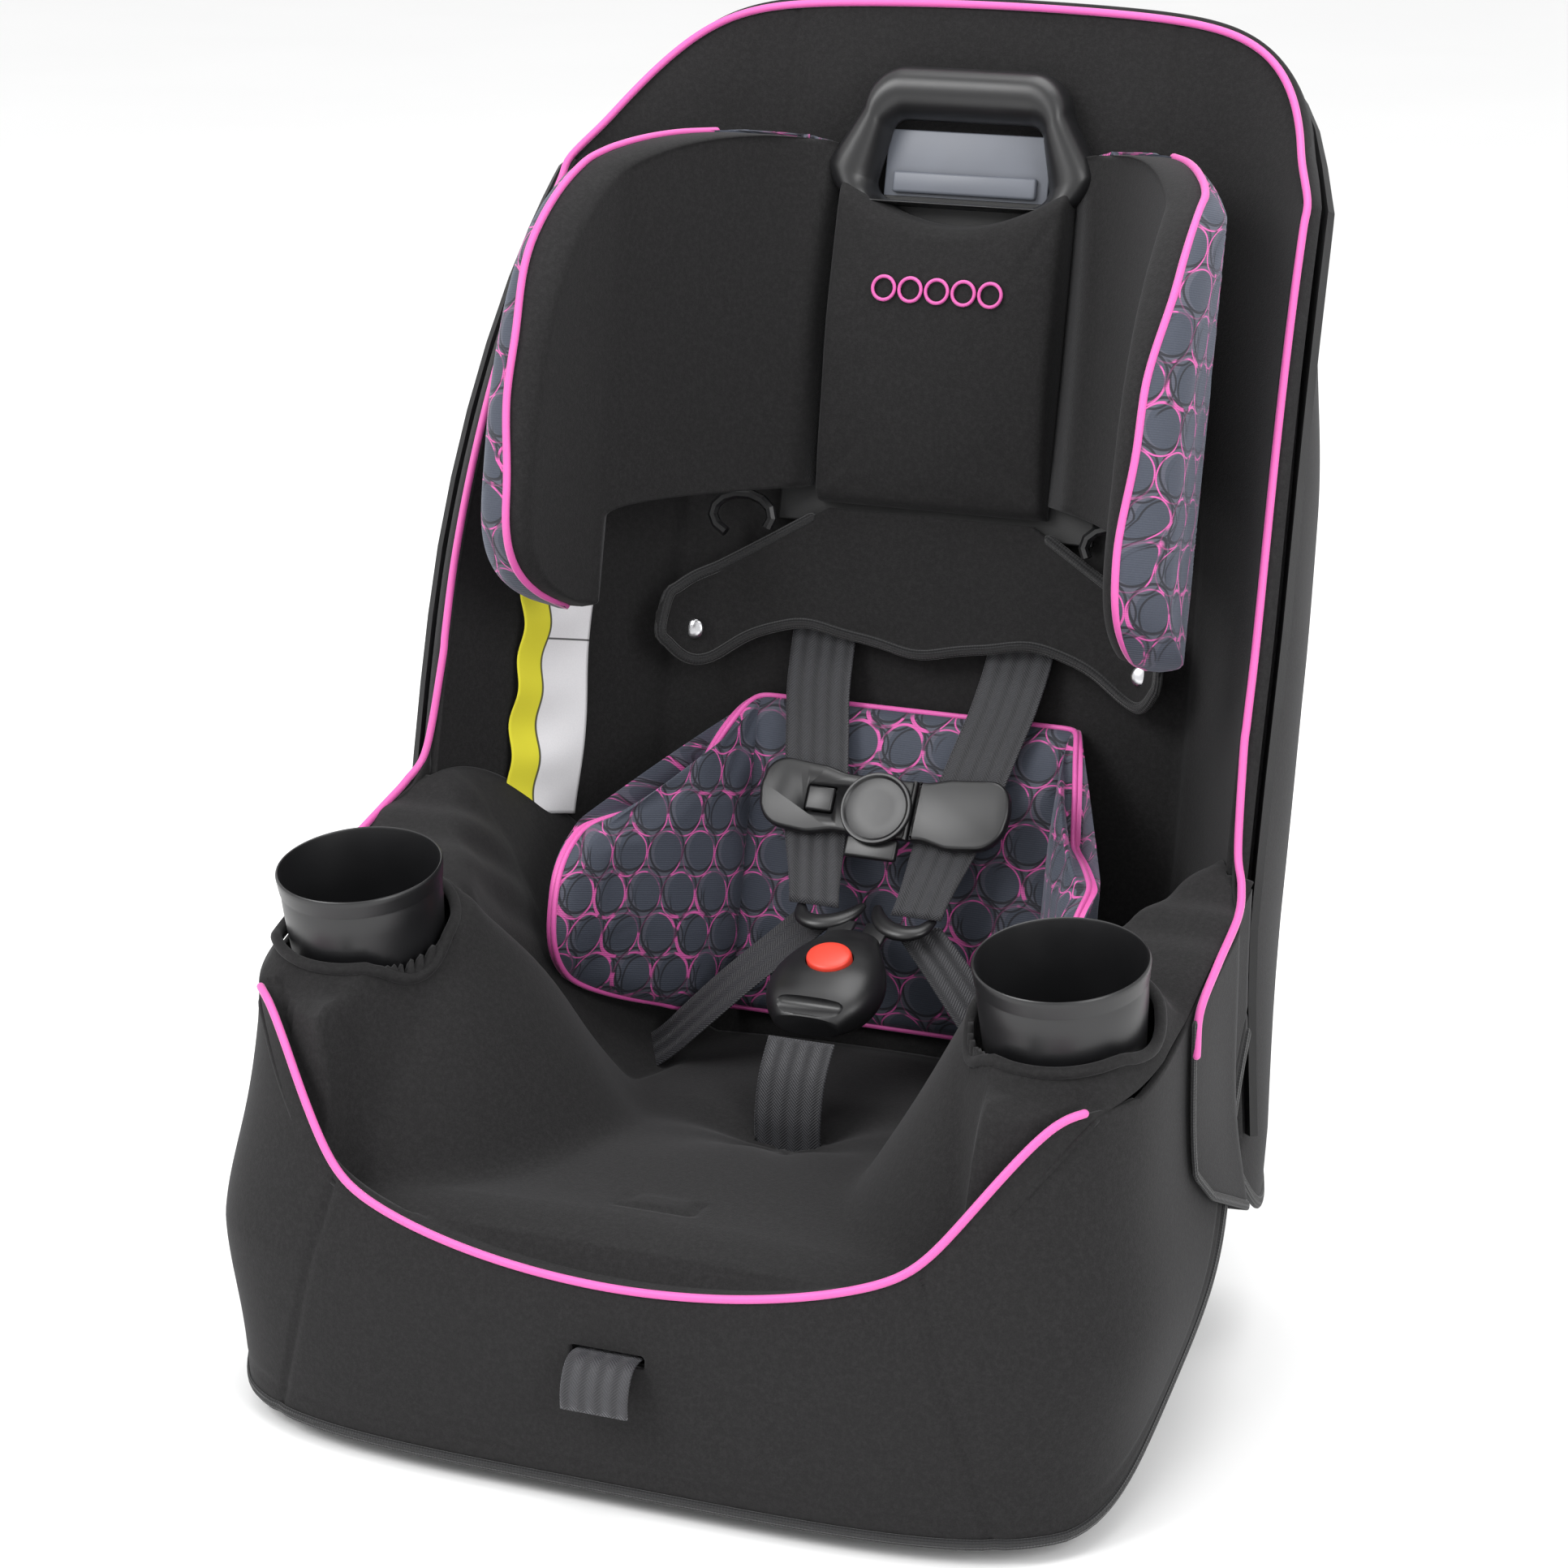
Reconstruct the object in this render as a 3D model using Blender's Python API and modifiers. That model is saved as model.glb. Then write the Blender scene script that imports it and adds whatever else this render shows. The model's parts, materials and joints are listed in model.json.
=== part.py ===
"""Harnessed child seat with an adjustable headrest, modelled as separate pieces.

Metres, +Z up.  The seat faces -Y, +X is the sitter's left.  The origin lies on the floor under
the base.  Back-frame coordinates are (x, t, n): t runs up the reclined back, n stands off it
towards the sitter.
"""

import math

import bmesh
import bpy
from mathutils import Matrix, Vector

GAP = 0.0003                      # clearance kept between pieces that touch
RUN = 0.0010                      # clearance of a sliding or turning piece

# Back
RECLINE = math.radians(13.6)
BACK_FOOT_Y = 0.118               # where the back's front face meets the seat pan's level
BACK_LENGTH = 0.592               # up the slope, from foot to top edge
BACK_HALF = 0.225                 # half width between the side walls' rims
BACK_TOP_TAPER = 0.018            # how much narrower the half width is at the top
BACK_FLAT = 0.65                  # share of the half width that is flat
RIM_DEPTH = 0.145                 # how far the side walls stand forward
RIM_LEVEL = 0.12                  # height up the slope up to which the rim keeps its depth
RIM_FOOT_LOSS = 0.046             # how much shallower the rim is at the back's foot
BACK_START = 0.004
COVER_THICK = 0.012
SHELL_GAP = 0.0024                # between the cover's foam and the shell
SHELL_THICK = 0.004
PANEL_THICK = 0.004
FLAP_DROP_FRONT = -0.004          # the free lower edge of the side panels, up the slope
FLAP_DROP_MIDDLE = -0.034
PANEL_REACH = 0.018               # how far the side panels run behind the back's front face

# Base
BASE_HALF_FLOOR = 0.140
BASE_HALF_TOP = 0.205
BASE_FRONT = 0.212
BASE_REAR = 0.125
BASE_FLARE = 0.020
BASE_HEIGHT = 0.095
BACK_LIFT = 0.005                 # how far the back's foot stands above the base
BASE_WALL = 0.004
PAN_THICK = 0.004
PAN_REAR = 0.150

# Skirt cover round the base and arms
SKIRT_HALF = 0.240
SKIRT_BULGE = 0.011
SKIRT_BULGE_Z = 0.100
SKIRT_CENTRE_Y = -0.100
SKIRT_REACH = 0.152
SKIRT_THICK = 0.004
SKIRT_END_Y = -0.008
HEM_Z = 0.012
FRONT_EDGE_Z = BASE_HEIGHT + 0.021
ARM_EDGE_Z = BASE_HEIGHT + 0.124

# Seat cushion and arms
CUSHION_HALF = 0.142
CUSHION_CROWN = BASE_HEIGHT + 0.040
CUSHION_REAR_Y = 0.1165
CUSHION_EASE = 0.0065
ARM_INNER = 0.143
ARM_END_Y = -0.010
ARM_EASE = 0.0036                 # between the arm and the skirt's inside

# Cup holders
CUP_X = 0.189
CUP_Y = -0.141
CUP_RIM_Z = BASE_HEIGHT + 0.180
CUP_TILT = math.radians(9.9)
CUP_RIM_R = 0.043
CUP_FOOT_R = 0.0355
CUP_DEPTH = 0.095
CUP_WALL = 0.002
CUP_STEP = 0.009                  # depth of the line under the rim

# Headrest, in back-frame coordinates
HEAD_HALF = 0.068
HEAD_BOTTOM = 0.312
HEAD_TOP = 0.476
HEAD_STAND = 0.0030               # gap between the back cover and the headrest's plate
HEAD_PLATE = 0.0040
HEAD_CROWN = 0.034
WING_FRONT = 0.200
WING_MIDDLE = 0.325
WING_BOTTOM = 0.246
WING_TOP = 0.512
WING_THICK = 0.027
WING_SPREAD = 0.104
FLAP_BOTTOM = 0.239
FLAP_HALF = 0.150
FLAP_THICK = 0.004
HANDLE_HALF = 0.060
HANDLE_BOTTOM = 0.462
HANDLE_TOP = 0.556
STEM_HALF = 0.012
STEM_BOTTOM = 0.345
STEM_TOP = 0.395
HEAD_TRAVEL = 0.120

# Harness
WEB_WIDTH = 0.038
WEB_THICK = 0.0014
STRAP_TOP_X = 0.058
STRAP_CLIP_X = 0.044
STRAP_LOW_X = 0.030
SLOT_WIDTH = WEB_WIDTH + 0.006
SLOT_HEIGHT = 0.012
SLOT_T = 0.268
CLIP_HALF = STRAP_CLIP_X + WEB_WIDTH / 2 + 0.005
CLIP_HEIGHT = 0.036
CLIP_THICK = 0.007
MEDAL_R = 0.021
CLIP_TRAVEL = 0.0025
BUCKLE_WIDTH = 0.060
BUCKLE_LENGTH = 0.072
BUCKLE_HALF_THICK = 0.012
BUCKLE_TILT = math.radians(22)
BUTTON_R = 0.0115
CROTCH_Y = -0.026                 # where the crotch strap comes up through the cushion

# Adjuster
ADJUSTER_Y = -0.196
ADJUSTER_HALF = 0.024
TAIL_Z = BASE_HEIGHT - 0.011

# Recline foot
FOOT_HALF = 0.095
FOOT_FRONT_Y = -0.185
FOOT_REAR_Y = -0.085
FOOT_THICK = 0.010
FOOT_WINDOW = 0.060
FOOT_PIN_R = 0.004
FOOT_PIN_Z = 0.010

PARTS = "child_seat"
CUTTERS = "cutters"


# ---------------------------------------------------------------- scene and materials

def clear_scene():
    for old in list(bpy.data.objects):
        bpy.data.objects.remove(old, do_unlink=True)


def collection(name):
    group = bpy.data.collections.get(name)
    if group is None:
        group = bpy.data.collections.new(name)
        bpy.context.scene.collection.children.link(group)
    return group


def finish(name, colour, roughness, metallic=0.0):
    material = bpy.data.materials.get(name)
    if material is None:
        material = bpy.data.materials.new(name)
        material.use_nodes = True
        shader = material.node_tree.nodes["Principled BSDF"]
        shader.inputs["Base Color"].default_value = (*colour, 1.0)
        shader.inputs["Roughness"].default_value = roughness
        shader.inputs["Metallic"].default_value = metallic
    return material


def black_knit():
    return finish("black_knit", (0.020, 0.020, 0.022), 0.95)


def print_fabric():
    return finish("print_fabric", (0.085, 0.095, 0.125), 0.90)


def shell_plastic():
    return finish("shell_plastic", (0.022, 0.022, 0.024), 0.50)


def gloss_plastic():
    return finish("gloss_plastic", (0.035, 0.036, 0.040), 0.22)


def grey_plastic():
    return finish("grey_plastic", (0.130, 0.140, 0.165), 0.45)


def red_plastic():
    return finish("red_plastic", (0.800, 0.060, 0.040), 0.35)


def charcoal_web():
    return finish("charcoal_web", (0.045, 0.046, 0.050), 0.80)


def steel():
    return finish("steel", (0.600, 0.600, 0.620), 0.30, 1.0)


def tag_cloth():
    return finish("tag_cloth", (0.850, 0.840, 0.860), 0.80)


# ---------------------------------------------------------------- builders

def link(name, mesh, material, group=PARTS):
    part = bpy.data.objects.new(name, mesh)
    if material is not None:
        mesh.materials.append(material)
    collection(group).objects.link(part)
    return part


def from_bmesh(name, shape, material, group=PARTS):
    bmesh.ops.recalc_face_normals(shape, faces=shape.faces)
    mesh = bpy.data.meshes.new(name)
    shape.to_mesh(mesh)
    shape.free()
    return link(name, mesh, material, group)


def spread(low, high, count):
    return [low + (high - low) * i / (count - 1) for i in range(count)]


def slab(name, front, back, material):
    """A pad between two matching grids of points: front rows and back rows."""
    shape = bmesh.new()
    rows = len(front)
    columns = len(front[0])
    face = [[shape.verts.new(p) for p in row] for row in front]
    rear = [[shape.verts.new(p) for p in row] for row in back]
    for i in range(rows - 1):
        for j in range(columns - 1):
            shape.faces.new((face[i][j], face[i][j + 1], face[i + 1][j + 1], face[i + 1][j]))
            shape.faces.new((rear[i][j], rear[i + 1][j], rear[i + 1][j + 1], rear[i][j + 1]))
    for i in range(rows - 1):
        shape.faces.new((face[i][0], face[i + 1][0], rear[i + 1][0], rear[i][0]))
        shape.faces.new((face[i][-1], rear[i][-1], rear[i + 1][-1], face[i + 1][-1]))
    for j in range(columns - 1):
        shape.faces.new((face[0][j], rear[0][j], rear[0][j + 1], face[0][j + 1]))
        shape.faces.new((face[-1][j], face[-1][j + 1], rear[-1][j + 1], rear[-1][j]))
    return from_bmesh(name, shape, material)


def sheet(name, rows, thickness, material):
    """An open grid of points given thickness on the side that its normals leave."""
    shape = bmesh.new()
    grid = [[shape.verts.new(p) for p in row] for row in rows]
    for i in range(len(rows) - 1):
        for j in range(len(rows[0]) - 1):
            shape.faces.new((grid[i][j], grid[i][j + 1], grid[i + 1][j + 1], grid[i + 1][j]))
    mesh = bpy.data.meshes.new(name)
    shape.to_mesh(mesh)
    shape.free()
    part = link(name, mesh, material)
    solid = part.modifiers.new("thickness", "SOLIDIFY")
    solid.thickness = thickness
    solid.offset = -1.0
    solid.use_even_offset = True
    return part


def loft(name, rings, material, group=PARTS):
    """Closed sections of equal count, joined in order and capped."""
    shape = bmesh.new()
    loops = [[shape.verts.new(p) for p in ring] for ring in rings]
    count = len(rings[0])
    for low, high in zip(loops, loops[1:]):
        for k in range(count):
            shape.faces.new((low[k], low[(k + 1) % count], high[(k + 1) % count], high[k]))
    shape.faces.new(loops[0])
    shape.faces.new(loops[-1])
    return from_bmesh(name, shape, material, group)


def block(name, size, place, material, bevel=0.0, group=PARTS):
    """A box of the given size in the frame of the matrix `place`, with rounded edges."""
    shape = bmesh.new()
    bmesh.ops.create_cube(shape, size=1.0)
    bmesh.ops.scale(shape, vec=Vector(size), verts=shape.verts)
    part = from_bmesh(name, shape, material, group)
    part.matrix_world = place
    if bevel:
        round_edges = part.modifiers.new("edges", "BEVEL")
        round_edges.width = bevel
        round_edges.segments = 2
        round_edges.limit_method = "ANGLE"
    return part


def disc(name, radius, depth, place, material, sides=24, group=PARTS, top_radius=None):
    shape = bmesh.new()
    upper = radius if top_radius is None else top_radius
    bmesh.ops.create_cone(shape, cap_ends=True, segments=sides, radius1=radius, radius2=upper,
                          depth=depth)
    part = from_bmesh(name, shape, material, group)
    part.matrix_world = place
    return part


def turned(name, profile, place, material, steps=32):
    """A closed profile of (radius, height) points turned about the local Z axis."""
    shape = bmesh.new()
    ring = [shape.verts.new((radius, 0.0, height)) for radius, height in profile]
    for a, b in zip(ring, ring[1:]):
        shape.edges.new((a, b))
    if profile[0][0] > 0.0:
        shape.edges.new((ring[-1], ring[0]))
    mesh = bpy.data.meshes.new(name)
    shape.to_mesh(mesh)
    shape.free()
    part = link(name, mesh, material)
    part.matrix_world = place
    screw = part.modifiers.new("turn", "SCREW")
    screw.axis = "Z"
    screw.steps = steps
    screw.render_steps = steps
    screw.use_merge_vertices = True
    screw.merge_threshold = 0.00001
    screw.use_normal_calculate = True
    return part


def cut(part, cutter):
    cutter.hide_render = True
    cutter.display_type = "WIRE"
    trim = part.modifiers.new("cut", "BOOLEAN")
    trim.operation = "DIFFERENCE"
    trim.solver = "EXACT"
    trim.object = cutter


def add(part, piece):
    piece.hide_render = True
    piece.display_type = "WIRE"
    joined = part.modifiers.new("join", "BOOLEAN")
    joined.operation = "UNION"
    joined.solver = "EXACT"
    joined.object = piece


def frame(origin, across, along, out):
    """A placing matrix from an origin and three axes."""
    turn = Matrix((across, along, out)).transposed()
    return Matrix.Translation(origin) @ turn.to_4x4()


def ribbon(name, centres, acrosses, outs, width, material):
    """Webbing: points down its middle, the direction of its width and of its outer face."""
    front = []
    back = []
    for centre, across, out in zip(centres, acrosses, outs):
        half = across.normalized() * width / 2
        lift = out.normalized() * WEB_THICK / 2
        front.append([centre - half + lift, centre + half + lift])
        back.append([centre - half - lift, centre + half - lift])
    return slab(name, front, back, material)


# ---------------------------------------------------------------- shared forms

UP = Vector((0.0, math.sin(RECLINE), math.cos(RECLINE)))
OUT = Vector((0.0, -math.cos(RECLINE), math.sin(RECLINE)))
RIGHT = Vector((1.0, 0.0, 0.0))
BACK_FOOT = Vector((0.0, BACK_FOOT_Y, BASE_HEIGHT + BACK_LIFT))


def back_point(x, t, n):
    return BACK_FOOT + RIGHT * x + UP * t + OUT * n


def back_frame(x, t, n):
    return frame(back_point(x, t, n), RIGHT, UP, RIGHT.cross(UP))


def rim_depth(t):
    """How far the rim stands forward: full at the arms' level, less above and below."""
    ratio = max(0.0, (t - RIM_LEVEL) / (BACK_LENGTH - RIM_LEVEL))
    foot = max(0.0, (RIM_LEVEL - t) / RIM_LEVEL)
    return RIM_DEPTH * max(0.0, 1.0 - ratio ** 2.7) - RIM_FOOT_LOSS * foot ** 1.3


def half_width(t):
    ratio = min(1.0, max(0.0, (t / BACK_LENGTH - 0.42) / 0.45))
    return BACK_HALF - BACK_TOP_TAPER * ratio ** 1.5


def top_level(u):
    return BACK_LENGTH * (1.0 - 0.020 * u ** 2 - 0.150 * abs(u) ** 8)


def back_face(u, v):
    """Point on the back's inner face: u across from -1 to 1, v up from 0 to 1."""
    t = BACK_START + v * (top_level(u) - BACK_START)
    wall = max(0.0, (abs(u) - BACK_FLAT) / (1.0 - BACK_FLAT))
    return back_point(u * half_width(t), t, rim_depth(t) * wall ** 1.4)


def back_surface(u, v, behind=0.0):
    """Point on the back's inner face, or a distance behind it."""
    here = back_face(u, v)
    if behind == 0.0:
        return here
    step = 0.004
    across = back_face(min(1.0, u + step), v) - back_face(max(-1.0, u - step), v)
    along = back_face(u, min(1.0, v + step)) - back_face(u, max(0.0, v - step))
    return here - across.cross(along).normalized() * behind


def back_columns():
    flat = spread(0.0, BACK_FLAT, 4)
    wall = spread(BACK_FLAT, 1.0, 9)[1:]
    half = flat + wall
    return [-u for u in reversed(half)] + half[1:]


def back_rows():
    return spread(0.0, 0.86, 12) + [0.92, 0.96, 0.985, 1.0]


def skirt_outline(z):
    half = SKIRT_HALF + SKIRT_BULGE * math.exp(-((z - SKIRT_BULGE_Z) / 0.05) ** 2)
    reach = SKIRT_REACH - 0.17 * max(0.0, z - 0.10)
    power = 4.2 - 7.0 * min(0.1, max(0.0, z - 0.10))
    return half, reach, power


def skirt_x(y, z, inset=0.0):
    """Half width of the skirt's outline at a depth y and a level z."""
    half, reach, power = skirt_outline(z)
    ahead = max(0.0, (SKIRT_CENTRE_Y - y) / (reach - inset))
    return (half - inset) * max(0.0, 1.0 - ahead ** power) ** (1.0 / power)


def skirt_point(turn, z, inset=0.0):
    """Point on the front arc, from turn 0 at the right side to 1 at the left."""
    half, reach, power = skirt_outline(z)
    angle = math.pi * turn
    c = math.cos(angle)
    s = math.sin(angle)
    x = math.copysign(abs(c) ** (2.0 / power), c) * (half - inset)
    y = SKIRT_CENTRE_Y - abs(s) ** (2.0 / power) * (reach - inset)
    return Vector((x, y, z))


def front_edge_level(x):
    """Level of the piped edge along the front, higher towards the arms."""
    inner = 0.026 * (x / 0.16) ** 2
    outer = 0.053 * max(0.0, (abs(x) - 0.16) / 0.062) ** 1.1
    return FRONT_EDGE_Z + inner + outer


def side_edge_level(y):
    return ARM_EDGE_Z + 0.027 * (y + 0.18) / 0.16


def edge_level(x, y):
    if y > -0.18:
        return side_edge_level(y)
    return min(front_edge_level(x), ARM_EDGE_Z)


def hem_level(y):
    return HEM_Z + 0.107 * max(0.0, (y + 0.215) / 0.155) ** 1.5


# ---------------------------------------------------------------- base

def base_ring(z, inset):
    share = z / BASE_HEIGHT
    half = BASE_HALF_FLOOR + (BASE_HALF_TOP - BASE_HALF_FLOOR) * share - inset
    front = -(BASE_FRONT + BASE_FLARE * share - inset)
    rear = BASE_REAR - inset
    corner = 0.030
    ring = []
    for cx, cy, start in ((half, rear, 0), (-half, rear, 1), (-half, front, 2), (half, front, 3)):
        mx = cx - math.copysign(corner, cx)
        my = cy - math.copysign(corner, cy)
        for k in range(5):
            angle = math.pi / 2 * (start + k / 4)
            ring.append(Vector((mx + corner * math.cos(angle), my + corner * math.sin(angle), z)))
    return ring


def build_base():
    levels = spread(0.0, BASE_HEIGHT, 3)
    shell = loft("base_shell", [base_ring(z, 0.0) for z in levels], shell_plastic())
    hollow = [base_ring(z, BASE_WALL) for z in spread(BASE_WALL, BASE_HEIGHT + 0.01, 3)]
    cut(shell, loft("cut_base_hollow", hollow, None, CUTTERS))
    foot_size = (2 * FOOT_HALF + 4 * RUN, FOOT_REAR_Y - FOOT_FRONT_Y + 0.022, 3 * BASE_WALL)
    middle = Vector((0.0, (FOOT_REAR_Y + FOOT_FRONT_Y) / 2 - 0.004, 0.0))
    cut(shell, block("cut_foot_bay", foot_size, Matrix.Translation(middle), None, 0.0, CUTTERS))
    slot = block("cut_rear_web", (SLOT_WIDTH, 0.030, SLOT_HEIGHT),
                 Matrix.Translation((0.0, BASE_REAR - 0.004, 0.050)), None, 0.0, CUTTERS)
    cut(shell, slot)
    slot = block("cut_front_web", (SLOT_WIDTH, 0.060, SLOT_HEIGHT + 0.004),
                 Matrix.Translation((0.0, -BASE_FRONT - 0.020, TAIL_Z - 0.007)), None, 0.0, CUTTERS)
    cut(shell, slot)

    low = BASE_HEIGHT + GAP
    pan_rings = []
    for z in (low, low + PAN_THICK):
        ring = base_ring(BASE_HEIGHT, 0.0)
        ring = [Vector((p.x, PAN_REAR if p.y > BASE_REAR - 0.031 else p.y, z)) for p in ring]
        unique = []
        for p in ring:
            if not unique or (p - unique[-1]).length > 1e-5:
                unique.append(p)
        pan_rings.append(unique)
    pan = loft("seat_pan", pan_rings, shell_plastic())
    cut(pan, block("cut_pan_crotch", (SLOT_WIDTH, 0.014, 0.03),
                   Matrix.Translation((0.0, CROTCH_Y, low)), None, 0.0, CUTTERS))
    cut(pan, block("cut_pan_lever", (2 * ADJUSTER_HALF + 0.004, 0.046, 0.03),
                   Matrix.Translation((0.0, ADJUSTER_Y, low)), None, 0.0, CUTTERS))


def build_foot():
    """The foot that flips out from under the front, hinged at its front edge."""
    depth = FOOT_REAR_Y - FOOT_FRONT_Y
    centre = Vector((0.0, FOOT_FRONT_Y + depth / 2, FOOT_PIN_Z))
    foot = block("recline_foot", (2 * FOOT_HALF, depth, FOOT_THICK), Matrix.Translation(centre),
                 shell_plastic(), 0.002)
    cut(foot, block("cut_foot_window", (FOOT_WINDOW, 0.6 * FOOT_WINDOW, 0.03),
                    Matrix.Translation(centre), None, 0.0, CUTTERS))
    sideways = Matrix.Rotation(math.pi / 2, 4, "Y")
    axis = Vector((0.0, FOOT_FRONT_Y + 0.010, FOOT_PIN_Z))
    bore = disc("cut_foot_bore", FOOT_PIN_R + 0.0004, 0.3, Matrix.Translation(axis) @ sideways,
                None, 16, CUTTERS)
    cut(foot, bore)
    disc("foot_pin", FOOT_PIN_R, 2 * FOOT_HALF + 0.020, Matrix.Translation(axis) @ sideways,
         steel(), 16)
    for side, word in ((1, "left"), (-1, "right")):
        place = Vector((side * (FOOT_HALF + 0.0075), axis.y, FOOT_PIN_Z - 0.0005))
        lug = block("foot_lug_" + word, (0.008, 0.020, 0.010),
                    Matrix.Translation(place + Vector((0.0, 0.0, 0.0))), shell_plastic(), 0.0)
        cut(lug, disc("cut_lug_" + word, FOOT_PIN_R + 0.0003, 0.1,
                      Matrix.Translation(axis + Vector((side * FOOT_HALF, 0.0, 0.0))) @ sideways,
                      None, 16, CUTTERS))


def build_skirt():
    """Fabric round the front and both sides, from the piped edge down to the hem."""
    stations = []
    for y in spread(SKIRT_END_Y, SKIRT_CENTRE_Y, 4)[:-1]:
        stations.append(("side", 1, y))
    for turn in spread(0.0, 1.0, 33):
        stations.append(("arc", 1, turn))
    for y in spread(SKIRT_CENTRE_Y, SKIRT_END_Y, 4)[1:]:
        stations.append(("side", -1, y))
    rows = []
    for share in spread(0.0, 1.0, 7):
        row = []
        for kind, side, value in stations:
            if kind == "side":
                low = hem_level(value)
                z = low + share * (side_edge_level(value) - low)
                row.append(Vector((side * skirt_x(value, z), value, z)))
            else:
                guess = skirt_point(value, 0.10)
                low = hem_level(guess.y)
                z = low + share * (edge_level(abs(guess.x), guess.y) - low)
                row.append(skirt_point(value, z))
        rows.append(row)
    rows = [list(reversed(row)) for row in rows]
    skirt = sheet("base_cover", rows, SKIRT_THICK, black_knit())
    cut(skirt, block("cut_skirt_web", (SLOT_WIDTH, 0.060, SLOT_HEIGHT - 0.004),
                     Matrix.Translation((0.0, -0.24, TAIL_Z - 0.002)), None, 0.0, CUTTERS))


def cushion_level(x, y):
    ahead = max(0.0, (-0.205 - y) / 0.040)
    behind = max(0.0, (y + 0.20) / 0.30)
    return CUSHION_CROWN - 0.017 * ahead ** 2 - 0.022 * behind ** 0.9 - 0.004 * (1 - (x / CUSHION_HALF) ** 2)


def build_cushion():
    low = BASE_HEIGHT + PAN_THICK + 2 * GAP
    top = []
    bottom = []
    for y in spread(-0.2445, CUSHION_REAR_Y, 13):
        upper = []
        lower = []
        for x in spread(-CUSHION_HALF, CUSHION_HALF, 9):
            room = skirt_outline(low)[1] - SKIRT_THICK - CUSHION_EASE
            front = SKIRT_CENTRE_Y - room * max(0.0, 1.0 - (abs(x) / 0.235) ** 4.2) ** (1 / 4.2)
            depth = max(y, front + 0.0005)
            upper.append(Vector((x, depth, cushion_level(x, depth))))
            lower.append(Vector((x, depth, low)))
        top.append(upper)
        bottom.append(lower)
    cushion = slab("seat_cushion", top, bottom, black_knit())
    cut(cushion, block("cut_cushion_crotch", (SLOT_WIDTH, 0.010, 0.1),
                       Matrix.Translation((0.0, CROTCH_Y, low)), None, 0.0, CUTTERS))
    cut(cushion, block("cut_cushion_lever", (2 * ADJUSTER_HALF + 0.002, 0.046, 0.032),
                       Matrix.Translation((0.0, ADJUSTER_Y, low + 0.004)), None, 0.0, CUTTERS))


# ---------------------------------------------------------------- arms and cup holders

def arm_top(y):
    return min(front_edge_level(skirt_x(y, 0.18)), side_edge_level(max(y, -0.18)) + 0.004)


def arm_ring(y, side):
    low = BASE_HEIGHT + PAN_THICK + 2 * GAP
    top = arm_top(y)
    inset = SKIRT_THICK + ARM_EASE
    inner_top = ARM_INNER + 0.004 + 0.020 * max(0.0, (y + 0.10) / 0.07)
    outline = []
    for z in spread(low, top - 0.008, 4):
        outline.append((skirt_x(y, z, inset), z))
    outline.append((skirt_x(y, top, inset) - 0.008, top))
    reach = max(inner_top, ARM_INNER + 0.002)
    outline.append((min(reach + 0.010, outline[-1][0] - 0.002), top))
    outline.append((min(reach, outline[-1][0] - 0.002), top - 0.008))
    outline.append((ARM_INNER + 0.001, (low + top) / 2))
    outline.append((ARM_INNER, low))
    ring = [Vector((side * x, y, z)) for x, z in outline]
    return ring if side > 0 else list(reversed(ring))


def cup_frame(side, depth):
    """Frame on the cup's axis, a depth below its rim; +Z looks up the axis."""
    axis = Vector((0.0, -math.sin(CUP_TILT), math.cos(CUP_TILT)))
    ahead = Vector((0.0, math.cos(CUP_TILT), math.sin(CUP_TILT)))
    rim = Vector((side * CUP_X, CUP_Y, CUP_RIM_Z))
    return frame(rim - axis * depth, RIGHT, ahead, axis)


def cup_radius(depth):
    return CUP_RIM_R - (CUP_RIM_R - CUP_FOOT_R) * depth / CUP_DEPTH


def build_arm(side, word):
    rings = [arm_ring(y, side) for y in spread(-0.228, ARM_END_Y, 12)]
    arm = loft("arm_cover_" + word, rings, black_knit())
    deep = CUP_DEPTH + 0.002
    bore = disc("cut_cup_" + word, cup_radius(deep) + 2 * GAP, deep, cup_frame(side, deep / 2),
                None, 40, CUTTERS, top_radius=CUP_RIM_R + 2 * GAP)
    cut(arm, bore)


def build_cup(side, word):
    outer = [(CUP_FOOT_R - 0.004, -CUP_DEPTH), (CUP_FOOT_R, -CUP_DEPTH + 0.004)]
    outer.append((cup_radius(CUP_STEP + 0.001), -CUP_STEP - 0.001))
    outer.append((cup_radius(CUP_STEP) + 0.0004, -CUP_STEP))
    outer.append((CUP_RIM_R, -0.0015))
    outer.append((CUP_RIM_R - 0.001, 0.0))
    inner = [(CUP_RIM_R - CUP_WALL, 0.0), (CUP_FOOT_R - CUP_WALL, -CUP_DEPTH + 0.004)]
    inner.append((CUP_FOOT_R - 0.006, -CUP_DEPTH + CUP_WALL))
    profile = [(0.0, -CUP_DEPTH)] + outer + inner + [(0.0, -CUP_DEPTH + CUP_WALL)]
    turned("cup_holder_" + word, list(reversed(profile)), cup_frame(side, 0.0), shell_plastic(), 40)


# ---------------------------------------------------------------- back

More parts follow.
